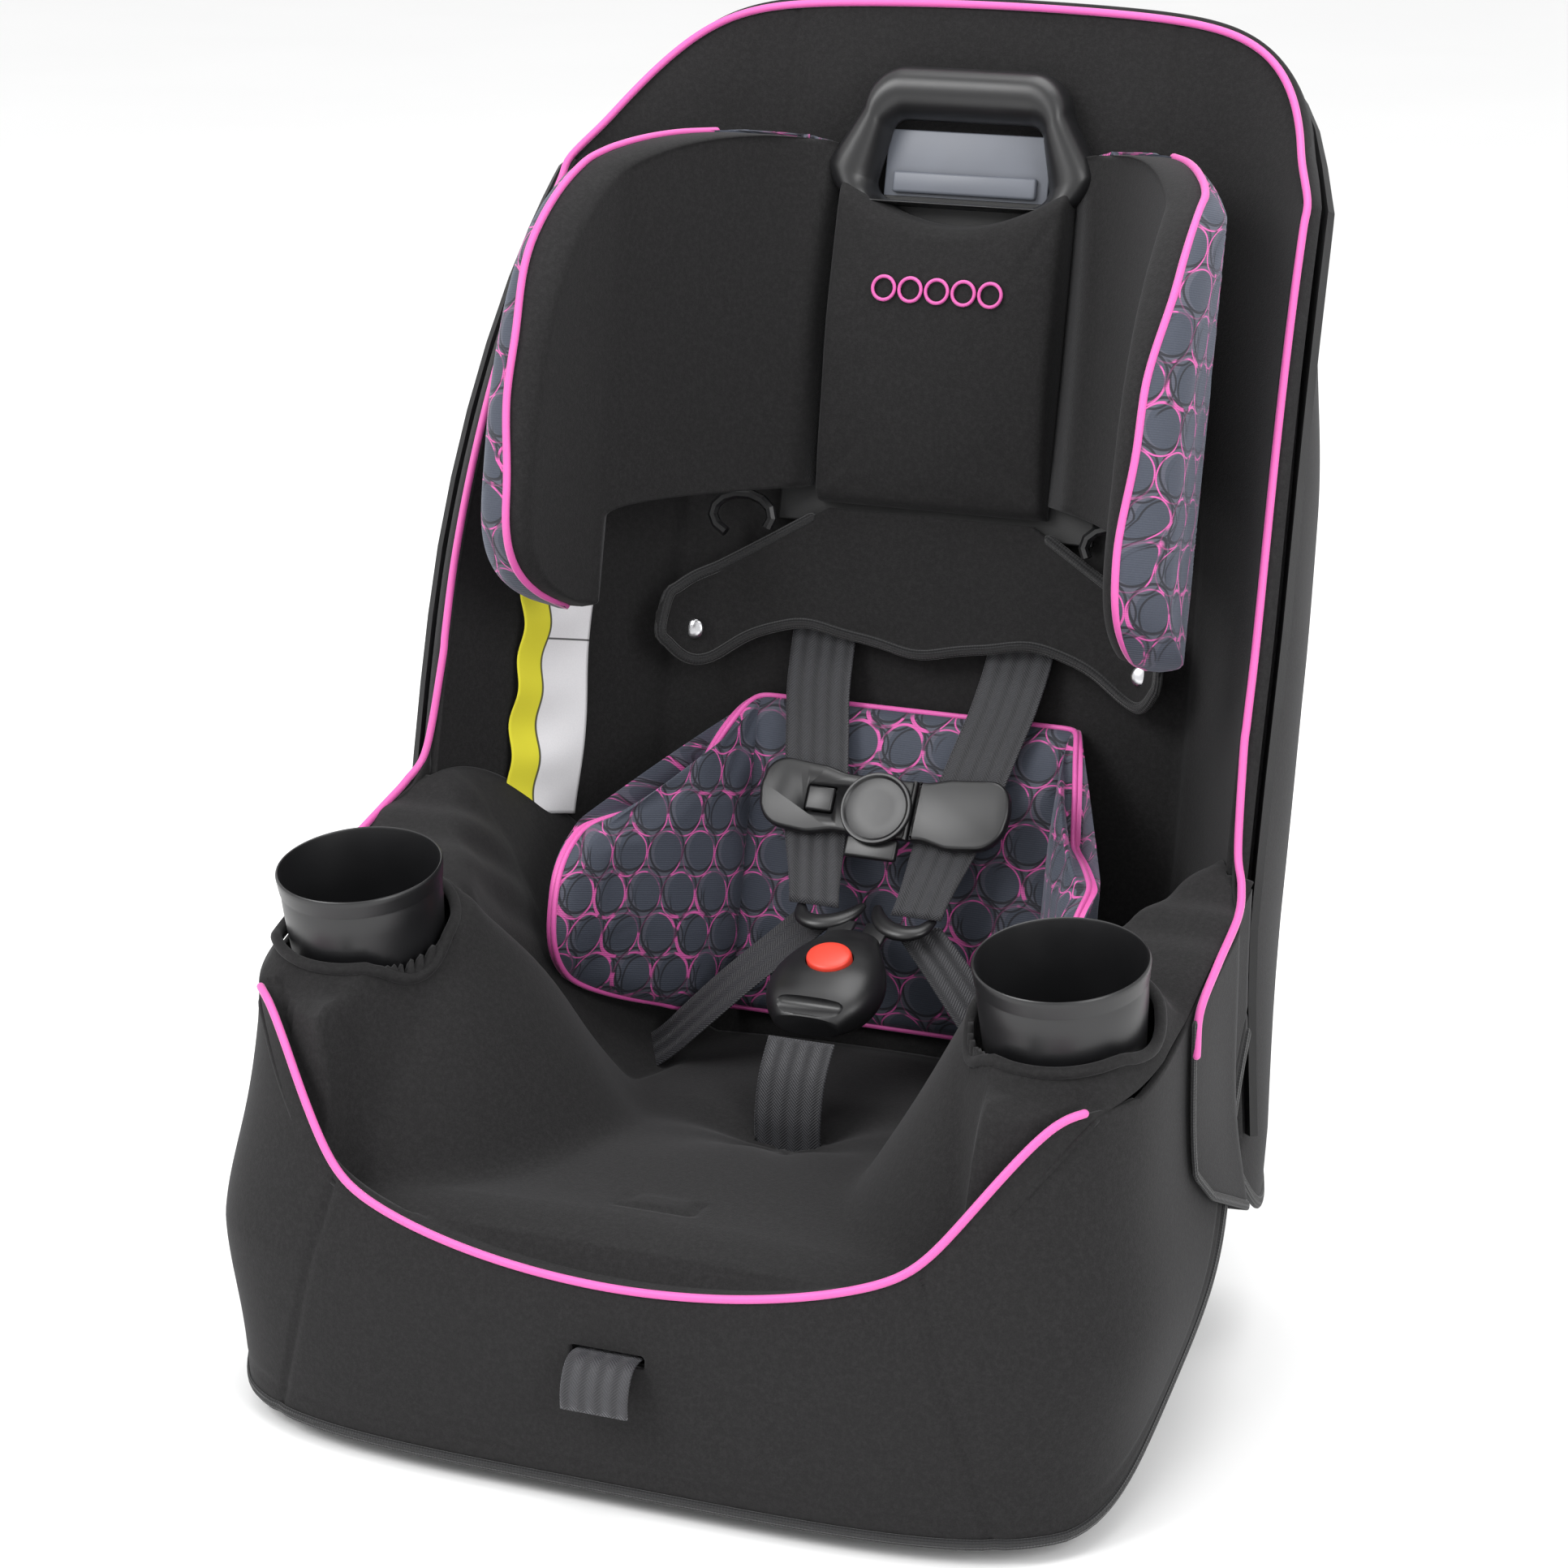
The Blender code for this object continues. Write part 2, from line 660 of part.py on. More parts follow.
def build_back():
    columns = back_columns()
    rows = [[back_surface(u, v) for u in columns] for v in back_rows()]
    cover = sheet("back_cover", rows, COVER_THICK, black_knit())
    behind = COVER_THICK + SHELL_GAP
    rows = [[back_surface(u, v, behind) for u in columns] for v in back_rows()]
    shell = sheet("back_shell", rows, SHELL_THICK, shell_plastic())
    slot_length = HEAD_TRAVEL + STEM_TOP - STEM_BOTTOM + 4 * RUN
    middle = (STEM_BOTTOM + STEM_TOP + HEAD_TRAVEL) / 2
    for part, word in ((cover, "cover"), (shell, "shell")):
        cut(part, block("cut_stem_" + word, (2 * STEM_HALF + 4 * RUN, slot_length, 0.10),
                        back_frame(0.0, middle, -0.01), None, 0.0, CUTTERS))
        for side in (1, -1):
            cut(part, block("cut_harness_%s_%d" % (word, side),
                            (SLOT_WIDTH, SLOT_HEIGHT, 0.06),
                            back_frame(side * STRAP_TOP_X, SLOT_T, -0.008), None, 0.0, CUTTERS))
    behind += SHELL_THICK
    for side, word in ((1, "left"), (-1, "right")):
        rib = block("back_rib_" + word, (0.012, 0.40, 0.014),
                    back_frame(side * 0.120, 0.335, -behind - GAP - 0.007), shell_plastic(), 0.002)
        cut(rib, block("cut_rib_" + word, (0.03, 0.06, 0.02),
                       back_frame(side * 0.120, SLOT_T, -behind - 0.018), None, 0.0, CUTTERS))


def panel_point(side, share, t):
    """Side panel's outer face: share 0 at the rim, 1 at the rear edge, t up the back."""
    level = max(t, BACK_START)
    v = (level - BACK_START) / (top_level(1.0) - BACK_START)
    rim = back_surface(1.0, v, COVER_THICK + SHELL_GAP + SHELL_THICK + 2 * GAP)
    rear = back_point(half_width(level) - 0.018, level, -PANEL_REACH)
    place = rim.lerp(rear, share) + UP * (t - level)
    bow = 0.010 * math.sin(math.pi * share) * min(1.0, rim_depth(level) / 0.06)
    return Vector((side * (place.x + bow + PANEL_THICK), place.y, place.z))


def flap_level(share):
    """Lower edge of the side panel, where it hangs as a free flap."""
    return FLAP_DROP_FRONT + (FLAP_DROP_MIDDLE - FLAP_DROP_FRONT) * math.sin(math.pi * share)


def build_side_panel(side, word):
    top = top_level(1.0) - 0.002
    rows = []
    for level in spread(0.0, 1.0, 13):
        row = []
        for share in spread(0.0, 1.0, 7):
            low = flap_level(share)
            row.append(panel_point(side, share, low + level * (top - low)))
        rows.append(row if side > 0 else list(reversed(row)))
    sheet("side_panel_" + word, rows, PANEL_THICK, black_knit())


def lumbar_point(u, v, lift):
    """The lumbar pad's face: u across from -1 to 1, v up, and how far it stands off."""
    bottom = 0.024
    top = 0.202 - 0.060 * max(0.0, abs(u) - 0.5) ** 2 * 4
    t = bottom + v * (top - bottom)
    bulge = 1.0 - 0.35 * (2 * v - 1) ** 4
    if abs(u) <= 0.5:
        return back_point(u * 0.19, t, 0.0006 + lift)
    wrap = (abs(u) - 0.5) / 0.5
    reach = 0.130 * wrap * bulge
    x = 0.095 + 0.055 * min(1.0, wrap * 1.3)
    side = 1.0 if u > 0 else -1.0
    lean = 0.4 + 0.6 * min(1.0, wrap * 2)
    return back_point(side * (x - lift * lean), t, 0.0006 + 0.006 * wrap + reach + lift * (1 - lean))


def build_lumbar():
    columns = spread(-1.0, 1.0, 21)
    rows = spread(0.0, 1.0, 7)
    front = [[lumbar_point(u, v, 0.018) for u in columns] for v in rows]
    back = [[lumbar_point(u, v, 0.0) for u in columns] for v in rows]
    slab("lumbar_pad", front, back, print_fabric())


# ---------------------------------------------------------------- headrest

def head_n():
    return HEAD_STAND + HEAD_PLATE + GAP


def build_headrest_plate():
    middle = (HEAD_BOTTOM + HEAD_TOP) / 2
    plate = block("headrest_shell", (2 * HEAD_HALF + 0.050, HEAD_TOP - HEAD_BOTTOM + 0.020, HEAD_PLATE),
                  back_frame(0.0, middle, HEAD_STAND + HEAD_PLATE / 2), shell_plastic(), 0.001)
    stem_depth = COVER_THICK + SHELL_GAP + SHELL_THICK + 0.004 + HEAD_STAND + 0.001
    stem = block("join_stem", (2 * STEM_HALF, STEM_TOP - STEM_BOTTOM, stem_depth),
                 back_frame(0.0, (STEM_TOP + STEM_BOTTOM) / 2, HEAD_STAND + 0.001 - stem_depth / 2),
                 None, 0.0, CUTTERS)
    add(plate, stem)
    rear_n = HEAD_STAND + 0.001 - stem_depth
    block("carriage_plate", (0.070, STEM_TOP - STEM_BOTTOM + 0.010, 0.004),
          back_frame(0.0, (STEM_TOP + STEM_BOTTOM) / 2, rear_n - GAP - 0.002),
          shell_plastic(), 0.0005)


def head_pad_n(x, t):
    share = (t - HEAD_BOTTOM) / (HEAD_TOP - HEAD_BOTTOM)
    crown = math.sin(math.pi * min(1.0, 0.08 + 0.80 * share)) ** 0.6
    return 0.013 + (HEAD_CROWN - 0.013) * crown


def build_head_pad():
    columns = spread(-HEAD_HALF, HEAD_HALF, 7)
    levels = spread(HEAD_BOTTOM, HEAD_TOP - 0.016, 8)
    front = [[back_point(x, t, head_pad_n(x, t)) for x in columns] for t in levels]
    back = [[back_point(x, t, head_n()) for x in columns] for t in levels]
    slab("head_pad", front, back, black_knit())


def wing_front(t):
    if t > WING_MIDDLE:
        reach = (t - WING_MIDDLE) / 0.190
        return WING_FRONT * max(0.0, 1.0 - reach ** 2.6) ** 0.55
    reach = (WING_MIDDLE - t) / 0.083
    return WING_FRONT * max(0.0, 1.0 - reach ** 6) ** 0.40


def wing_inner(t):
    """Inner limit of the wing: the cut-out for the belt lifts it near the bottom."""
    share = min(1.0, max(0.0, (t - WING_BOTTOM) / 0.062))
    return 0.017 + 0.083 * (1.0 - share ** 1.6)


def wing_x(n):
    spread_out = (max(0.0, n - 0.017) / 0.15) ** 0.6
    turn_in = 1.0 + 0.3 * max(0.0, n - 0.12) / 0.08
    return HEAD_HALF + 0.0008 + WING_SPREAD * spread_out / turn_in


def build_wing(side, word):
    front = []
    back = []
    for t in spread(WING_BOTTOM, WING_TOP, 12):
        low = wing_inner(t)
        high = max(wing_front(t), low + 0.014)
        inner_row = []
        outer_row = []
        for share in spread(0.0, 1.0, 9):
            n = low + (high - low) * share
            x = wing_x(n)
            thick = WING_THICK * min(1.0, 0.30 + 2.2 * max(0.0, n - 0.017) / 0.10)
            thick *= 1.0 - 0.45 * share ** 3
            lean = 0.25 + 0.75 * min(1.0, (n - 0.017) / 0.06)
            inner_row.append(back_point(side * x, t, n))
            drop = min(thick * (1.0 - lean), n - HEAD_STAND - HEAD_PLATE - 2 * GAP - 0.001)
            outer_row.append(back_point(side * (x + thick * lean), t, n - drop))
        front.append(inner_row)
        back.append(outer_row)
    slab("wing_" + word, front, back, print_fabric())


def flap_low(x):
    """Lower outline of the flap: raised over the straps, low at the snaps."""
    lobe = math.exp(-((abs(x) - STRAP_TOP_X) / 0.022) ** 2)
    tip = math.exp(-((abs(x) - 0.128) / 0.026) ** 2)
    return FLAP_BOTTOM + 0.014 * lobe - 0.010 * tip


def flap_high(x):
    over = max(0.0, (abs(x) - 0.060) / 0.090)
    return HEAD_BOTTOM - 0.001 - 0.052 * over ** 0.9


def flap_n(x):
    wall = max(0.0, (abs(x) / BACK_HALF - BACK_FLAT + 0.11) / (1.0 - BACK_FLAT))
    return 0.0095 + RIM_DEPTH * wall ** 1.6


def build_flap():
    columns = spread(-FLAP_HALF, FLAP_HALF, 25)
    front = []
    back = []
    for share in spread(0.0, 1.0, 4):
        face = []
        rear = []
        for x in columns:
            t = flap_low(x) + share * (flap_high(x) - flap_low(x))
            face.append(back_point(x, t, flap_n(x) + FLAP_THICK))
            rear.append(back_point(x, t, flap_n(x)))
        front.append(face)
        back.append(rear)
    slab("headrest_flap", front, back, black_knit())
    for side, word in ((1, "left"), (-1, "right")):
        x = side * 0.124
        centre = back_frame(x, FLAP_BOTTOM + 0.010, flap_n(x) + FLAP_THICK + 0.0062)
        disc("snap_" + word, 0.0055, 0.003, centre, steel(), 20, top_radius=0.0042)


def handle_ring(half, low, high, n, corner=0.020, taper=0.014):
    points = []
    for cx, ct, start in ((1, 1, 0), (-1, 1, 1), (-1, -1, 2), (1, -1, 3)):
        wide = half - (taper if ct > 0 else 0.0)
        mx = cx * (wide - corner)
        mt = (high - corner) if ct > 0 else (low + corner)
        for k in range(5):
            angle = math.pi / 2 * (start + k / 4)
            points.append((mx + corner * math.cos(angle), mt + corner * math.sin(angle), n))
    return [back_point(*p) for p in points]


def build_handle():
    low_n = HEAD_STAND
    rings = [handle_ring(HANDLE_HALF + 0.004, HANDLE_BOTTOM + 0.026, HANDLE_TOP, low_n)]
    rings.append(handle_ring(HANDLE_HALF + 0.007, HANDLE_BOTTOM + 0.026, HANDLE_TOP + 0.003, 0.012))
    rings.append(handle_ring(HANDLE_HALF, HANDLE_BOTTOM + 0.028, HANDLE_TOP - 0.002, 0.024))
    handle = loft("headrest_handle", rings, gloss_plastic())
    window = [handle_ring(HANDLE_HALF - 0.018, HANDLE_BOTTOM + 0.034, HANDLE_TOP - 0.022, n, 0.012)
              for n in (-0.01, 0.05)]
    cut(handle, loft("cut_handle_window", window, None, CUTTERS))
    lever = block("headrest_lever", (0.044, 0.024, 0.003),
                  back_frame(0.0, HANDLE_BOTTOM + 0.051, HEAD_STAND + 0.0020), grey_plastic(), 0.0008)
    add(lever, block("join_lever_lip", (0.040, 0.007, 0.006),
                     back_frame(0.0, HANDLE_BOTTOM + 0.044, HEAD_STAND + 0.0045), None, 0.0, CUTTERS))


def build_belt_guide(side, word):
    """Hook that holds the vehicle belt, under the wing's cut-out."""
    path = []
    for k in range(11):
        angle = math.radians(-60 + 27 * k)
        path.append((0.110 + 0.018 * math.cos(angle), 0.302 + 0.012 * math.sin(angle)))
    curve = bpy.data.curves.new("belt_guide_" + word, "CURVE")
    curve.dimensions = "3D"
    line = curve.splines.new("POLY")
    line.points.add(len(path) - 1)
    for point, (x, t) in zip(line.points, path):
        point.co = (*back_point(side * x, t, 0.0185), 1.0)
    curve.bevel_depth = 0.003
    curve.bevel_resolution = 2
    curve.use_fill_caps = True
    curve.materials.append(gloss_plastic())
    part = bpy.data.objects.new("belt_guide_" + word, curve)
    collection(PARTS).objects.link(part)


# ---------------------------------------------------------------- harness

STRAP_NEAR = Vector((0.0, 0.083, BASE_HEIGHT + 0.1095))      # where the shoulder webbing meets the tongue
STRAP_FAR = Vector((0.0, 0.150, BASE_HEIGHT + 0.213))       # where it lifts off the lumbar pad's top
STRAP_RUN = (STRAP_FAR - STRAP_NEAR).normalized()
STRAP_FACE = Vector((0.0, -STRAP_RUN.z, STRAP_RUN.y))


def build_shoulder_strap(side, word):
    """From the splitter plate behind the shell, through the slot and down to the tongue."""
    behind = -(COVER_THICK + SHELL_GAP + SHELL_THICK + 0.004)
    points = []
    outs = []
    for t, n, x in ((0.130, behind - 0.002, WEB_WIDTH / 2 + 0.001), (0.200, behind - 0.001, 0.044),
                    (SLOT_T - 0.008, behind + 0.001, STRAP_TOP_X)):
        points.append(back_point(side * x, t, n))
        outs.append(-OUT)
    points.append(back_point(side * STRAP_TOP_X, SLOT_T, -0.014))
    outs.append((UP - OUT * 0.3))
    points.append(back_point(side * STRAP_TOP_X, SLOT_T, -0.002))
    outs.append(UP)
    points.append(back_point(side * STRAP_TOP_X, SLOT_T - 0.003, 0.0035))
    outs.append(UP + OUT)
    points.append(back_point(side * STRAP_TOP_X, SLOT_T - 0.012, 0.0052))
    outs.append(OUT)
    points.append(back_point(side * STRAP_TOP_X, SLOT_T - 0.032, 0.0080))
    outs.append(OUT)
    far = Vector((side * (STRAP_TOP_X - 0.003), STRAP_FAR.y, STRAP_FAR.z))
    near = Vector((side * STRAP_LOW_X, STRAP_NEAR.y, STRAP_NEAR.z))
    for share in spread(0.0, 1.0, 6):
        points.append(far.lerp(near, share))
        outs.append(STRAP_FACE)
    acrosses = [RIGHT] * len(points)
    ribbon("shoulder_strap_" + word, points, acrosses, outs, WEB_WIDTH, charcoal_web())


def tongue_frame():
    """Frame at the buckle's mouth: Y runs out of the buckle, Z out of its face."""
    along = Vector((0.0, math.cos(BUCKLE_TILT), math.sin(BUCKLE_TILT)))
    face = Vector((0.0, -math.sin(BUCKLE_TILT), math.cos(BUCKLE_TILT)))
    foot = Vector((0.0, 0.0, BASE_HEIGHT + 0.071))
    return frame(foot + along * BUCKLE_LENGTH, RIGHT, along, face)


def buckle_frame(x, along, out):
    return tongue_frame() @ Matrix.Translation((x, along - BUCKLE_LENGTH, out))


def build_tongue(side, word):
    plate = block("tongue_" + word, (0.044, 0.014, 0.0020),
                  tongue_frame() @ Matrix.Translation((side * 0.0235, 0.0105, 0.0)),
                  gloss_plastic(), 0.0006)
    blade = block("join_blade_" + word, (0.012, 0.034, 0.0020),
                  tongue_frame() @ Matrix.Translation((side * 0.0085, -0.010, 0.0)), None, 0.0, CUTTERS)
    add(plate, blade)


def build_lap_strap(side, word):
    """From under the tongue, outwards and down to the hip."""
    start = tongue_frame() @ Vector((side * 0.030, 0.0190, -0.0034))
    route = [start]
    for x, y, lift in ((0.046, 0.080, 0.087), (0.070, 0.069, 0.065), (0.092, 0.058, 0.045),
                       (0.106, 0.050, 0.032)):
        route.append(Vector((side * x, y, BASE_HEIGHT + lift)))
    first = Vector((0.0, -math.sin(BUCKLE_TILT), math.cos(BUCKLE_TILT)))
    last = Vector((side * 0.35, -0.62, 0.70)).normalized()
    acrosses = []
    outs = []
    for k, share in enumerate(spread(0.0, 1.0, len(route))):
        ahead = route[min(k + 1, len(route) - 1)] - route[max(k - 1, 0)]
        out = first.lerp(last, share).normalized()
        across = ahead.cross(out).normalized()
        across = across if across.x > 0 else -across
        across = RIGHT.lerp(across, min(1.0, 0.3 + share)) if k else RIGHT
        acrosses.append(across.normalized())
        outs.append(out)
    ribbon("lap_strap_" + word, route, acrosses, outs, 0.026, charcoal_web())


def build_crotch_strap():
    points = []
    for y, lift in ((CROTCH_Y, -0.017), (CROTCH_Y, 0.010), (CROTCH_Y, 0.031), (-0.019, 0.051),
                    (-0.007, 0.0655)):
        points.append(Vector((0.0, y, BASE_HEIGHT + lift)))
    outs = [Vector((0.0, -1.0, 0.0)), Vector((0.0, -1.0, 0.0)), Vector((0.0, -1.0, 0.1)),
            Vector((0.0, -0.90, 0.40)), Vector((0.0, -0.80, 0.60))]
    ribbon("crotch_strap", points, [RIGHT] * 5, outs, WEB_WIDTH, charcoal_web())
    block("crotch_anchor", (0.050, 0.012, 0.0030),
          Matrix.Translation((0.0, CROTCH_Y, BASE_HEIGHT - 0.019)), steel(), 0.0005)


def build_buckle():
    size = (BUCKLE_WIDTH, BUCKLE_LENGTH, BUCKLE_HALF_THICK)
    middle = BUCKLE_LENGTH / 2
    for word, side in (("front", 1), ("rear", -1)):
        out = side * (BUCKLE_HALF_THICK / 2 + 0.0026)
        body = block("buckle_" + word + "_cover", size, buckle_frame(0.0, middle, out),
                     gloss_plastic(), 0.0045)
        if word == "front":
            cut(body, disc("cut_button", BUTTON_R + 0.0005, 0.05, buckle_frame(0.0, 0.030, 0.0),
                           None, 28, CUTTERS))
    latch = block("buckle_latch", (0.040, 0.050, 0.0009), buckle_frame(0.0, middle + 0.002, -0.00185),
                  steel(), 0.0)
    cut(latch, block("cut_latch", (0.016, 0.010, 0.02), buckle_frame(0.0, 0.056, 0.0), None, 0.0,
                     CUTTERS))
    disc("buckle_button", BUTTON_R, 0.0105, buckle_frame(0.0, 0.030, 0.0100), red_plastic(), 28)


def clip_frame(x, along, out):
    middle = STRAP_NEAR.lerp(STRAP_FAR, 0.46)
    face = Vector((0.0, -STRAP_RUN.z, STRAP_RUN.y))
    return frame(middle, RIGHT, STRAP_RUN, face) @ Matrix.Translation((x, along, out))


def build_chest_clip():
    """Two halves on the front of the straps, with a bar behind each strap."""
    face_n = WEB_THICK / 2 + 0.0012 + CLIP_THICK / 2
    rear_n = -(WEB_THICK / 2 + 0.0012 + 0.0015)
    split = 0.018
    left = -CLIP_HALF
    body = block("clip_frame", (split - left, CLIP_HEIGHT, CLIP_THICK),
                 clip_frame((split + left) / 2, 0.0, face_n), gloss_plastic(), 0.003)
    bar = block("join_frame_bar", (0.060, 0.010, 0.003), clip_frame(left + 0.030, 0.0, rear_n),
                None, 0.0, CUTTERS)
    end = block("join_frame_end", (0.0034, 0.0094, 0.0110), clip_frame(left + 0.0024, 0.0, 0.0010),
                None, 0.0, CUTTERS)
    add(body, bar)
    add(body, end)
    pocket = face_n - CLIP_THICK / 2 + 0.0015
    cut(body, block("cut_clip_button", (0.0170, 0.0150, 0.02), clip_frame(-0.036, 0.0, pocket + 0.010),
                    None, 0.0, CUTTERS))
    cut(body, block("cut_clip_mouth", (0.030, 0.020, 0.0034), clip_frame(split - 0.002, 0.0, face_n),
                    None, 0.0, CUTTERS))
    insert_low = split + RUN
    insert = block("clip_insert", (CLIP_HALF - insert_low, CLIP_HEIGHT - 0.002, CLIP_THICK),
                   clip_frame((CLIP_HALF + insert_low) / 2, 0.0, face_n), gloss_plastic(), 0.003)
    tang = block("join_insert_tang", (0.016, 0.016, 0.0022), clip_frame(insert_low - 0.003, 0.0, face_n),
                 None, 0.0, CUTTERS)
    bar = block("join_insert_bar", (0.044, 0.010, 0.003), clip_frame(CLIP_HALF - 0.022, 0.0, rear_n),
                None, 0.0, CUTTERS)
    end = block("join_insert_end", (0.0034, 0.0094, 0.0110), clip_frame(CLIP_HALF - 0.0024, 0.0, 0.0010),
                None, 0.0, CUTTERS)
    for piece in (tang, bar, end):
        add(insert, piece)
    button = 0.0040
    lift = pocket + CLIP_TRAVEL + GAP + button / 2
    block("clip_button", (0.0156, 0.0136, button), clip_frame(-0.036, 0.0, lift), gloss_plastic(), 0.001)
    disc("clip_medallion", MEDAL_R, 0.0030, clip_frame(-0.002, 0.0, face_n + CLIP_THICK / 2 + GAP + 0.0015),
         gloss_plastic(), 32, top_radius=MEDAL_R - 0.001)


def build_adjuster():
    """Webbing lock under the front of the cushion, worked by a lever through the slit."""
    top = BASE_HEIGHT - 0.015
    low = BASE_HEIGHT - 0.035
    y = ADJUSTER_Y
    housing = block("adjuster_housing", (2 * ADJUSTER_HALF, 0.036, top - low),
                    Matrix.Translation((0.0, y, (top + low) / 2)), shell_plastic(), 0.001)
    cut(housing, block("cut_housing_web", (WEB_WIDTH + 0.002, 0.10, 0.0040),
                       Matrix.Translation((0.0, y, (top + low) / 2)), None, 0.0, CUTTERS))
    for side in (1, -1):
        add(housing, block("join_ear_%d" % side, (0.003, 0.012, 0.030),
                           Matrix.Translation((side * (ADJUSTER_HALF - 0.0015), y + 0.012,
                                               BASE_HEIGHT - 0.006)),
                           None, 0.0, CUTTERS))
    sideways = Matrix.Rotation(math.pi / 2, 4, "Y")
    axis = Vector((0.0, y + 0.012, BASE_HEIGHT + 0.003))
    across = Matrix.Translation(axis) @ sideways
    cut(housing, disc("cut_housing_pin", 0.0024, 0.10, across, None, 14, CUTTERS))
    disc("adjuster_pin", 0.0020, 2 * ADJUSTER_HALF, across, steel(), 14)
    lever = block("adjuster_lever", (0.034, 0.034, 0.0070),
                  Matrix.Translation((0.0, y - 0.0005, BASE_HEIGHT + 0.0035)), grey_plastic(), 0.0012)
    cut(lever, disc("cut_lever_pin", 0.0024, 0.10, across, None, 14, CUTTERS))


def build_adjuster_strap():
    """Webbing from the splitter plate, under the seat and out at the front as a short loop."""
    behind = -(COVER_THICK + SHELL_GAP + SHELL_THICK + 0.006)
    down = Vector((0.0, 0.0, -1.0))
    route = ((0.162, -0.0050, Vector((0.0, 1.0, 0.0))), (0.150, -0.0390, Vector((0.0, 0.7, -0.7))),
             (0.120, -0.0450, down), (0.0, -0.0430, down), (-0.120, -0.0290, down),
             (-0.170, -0.0250, down), (-0.219, -0.0250, down), (-0.234, -0.0180, Vector((0.0, 0.4, -1.0))),
             (-0.250, -0.0115, Vector((0.0, 0.1, -1.0))), (-0.262, -0.0150, Vector((0.0, 0.6, -0.8))),
             (-0.269, -0.0270, Vector((0.0, 0.9, -0.4))))
    points = [back_point(0.0, 0.104, behind), back_point(0.0, 0.050, behind)]
    outs = [-OUT, -OUT]
    for y, lift, out in route:
        points.append(Vector((0.0, y, BASE_HEIGHT + lift)))
        outs.append(out)
    ribbon("adjuster_strap", points, [-RIGHT] * len(points), outs, 0.036, charcoal_web())


def build_splitter():
    place = back_frame(0.0, 0.117, -(COVER_THICK + SHELL_GAP + SHELL_THICK + 0.006))
    block("splitter_plate", (0.080, 0.022, 0.0022), place, steel(), 0.0006)


def build_fixings():
    behind = COVER_THICK + SHELL_GAP + SHELL_THICK + 2 * GAP
    for number, (x, t) in enumerate(((0.150, 0.030), (-0.150, 0.030), (0.150, 0.440), (-0.150, 0.440))):
        frame_here = back_frame(x, t, -behind - 0.0045) @ Matrix.Rotation(math.pi, 4, "X")
        disc("shell_bolt_%d" % (number + 1), 0.006, 0.005, frame_here, steel(), 6)


def build_rack():
    """Notched rails behind the shell that the headrest's carriage runs between."""
    behind = COVER_THICK + SHELL_GAP + SHELL_THICK + 2 * GAP
    middle = (STEM_BOTTOM + STEM_TOP + HEAD_TRAVEL) / 2
    length = HEAD_TRAVEL + STEM_TOP - STEM_BOTTOM + 0.030
    for side, word in ((1, "left"), (-1, "right")):
        rail = block("height_rack_" + word, (0.010, length, 0.008),
                     back_frame(side * 0.0425, middle, -behind - 0.004), shell_plastic(), 0.0)
        for k in range(8):
            notch = block("cut_notch_%s_%d" % (word, k), (0.006, 0.008, 0.02),
                          back_frame(side * 0.0385, STEM_TOP - 0.010 + 0.0171 * k, -behind - 0.004),
                          None, 0.0, CUTTERS)
            cut(rail, notch)


def build_tag():
    rows = []
    for t in spread(0.128, 0.252, 5):
        row = []
        for n in (0.052, 0.080, 0.108):
            share = (n / rim_depth(t)) ** (1 / 1.4)
            u = BACK_FLAT + (1.0 - BACK_FLAT) * share
            row.append(back_point(-(u * half_width(t) - 0.0022), t, n + 0.001))
        rows.append(row)
    sheet("care_tag", rows, 0.0006, tag_cloth())


def main():
    clear_scene()
    build_base()
    build_foot()
    build_skirt()
    build_cushion()
    for side, word in ((1, "left"), (-1, "right")):
        build_arm(side, word)
        build_cup(side, word)
    build_back()
    for side, word in ((1, "left"), (-1, "right")):
        build_side_panel(side, word)
    build_lumbar()
    build_headrest_plate()
    build_head_pad()
    build_flap()
    build_handle()
    for side, word in ((1, "left"), (-1, "right")):
        build_wing(side, word)
        build_belt_guide(side, word)
        build_shoulder_strap(side, word)
        build_tongue(side, word)
        build_lap_strap(side, word)
    build_crotch_strap()
    build_buckle()
    build_chest_clip()
    build_adjuster()
    build_adjuster_strap()
    build_splitter()
    build_fixings()
    build_rack()
    build_tag()


main()
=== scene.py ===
"""Looks of a harnessed child seat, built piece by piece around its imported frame."""

import json
import math

import bmesh
import bpy
import numpy as np
from mathutils import Matrix, Vector


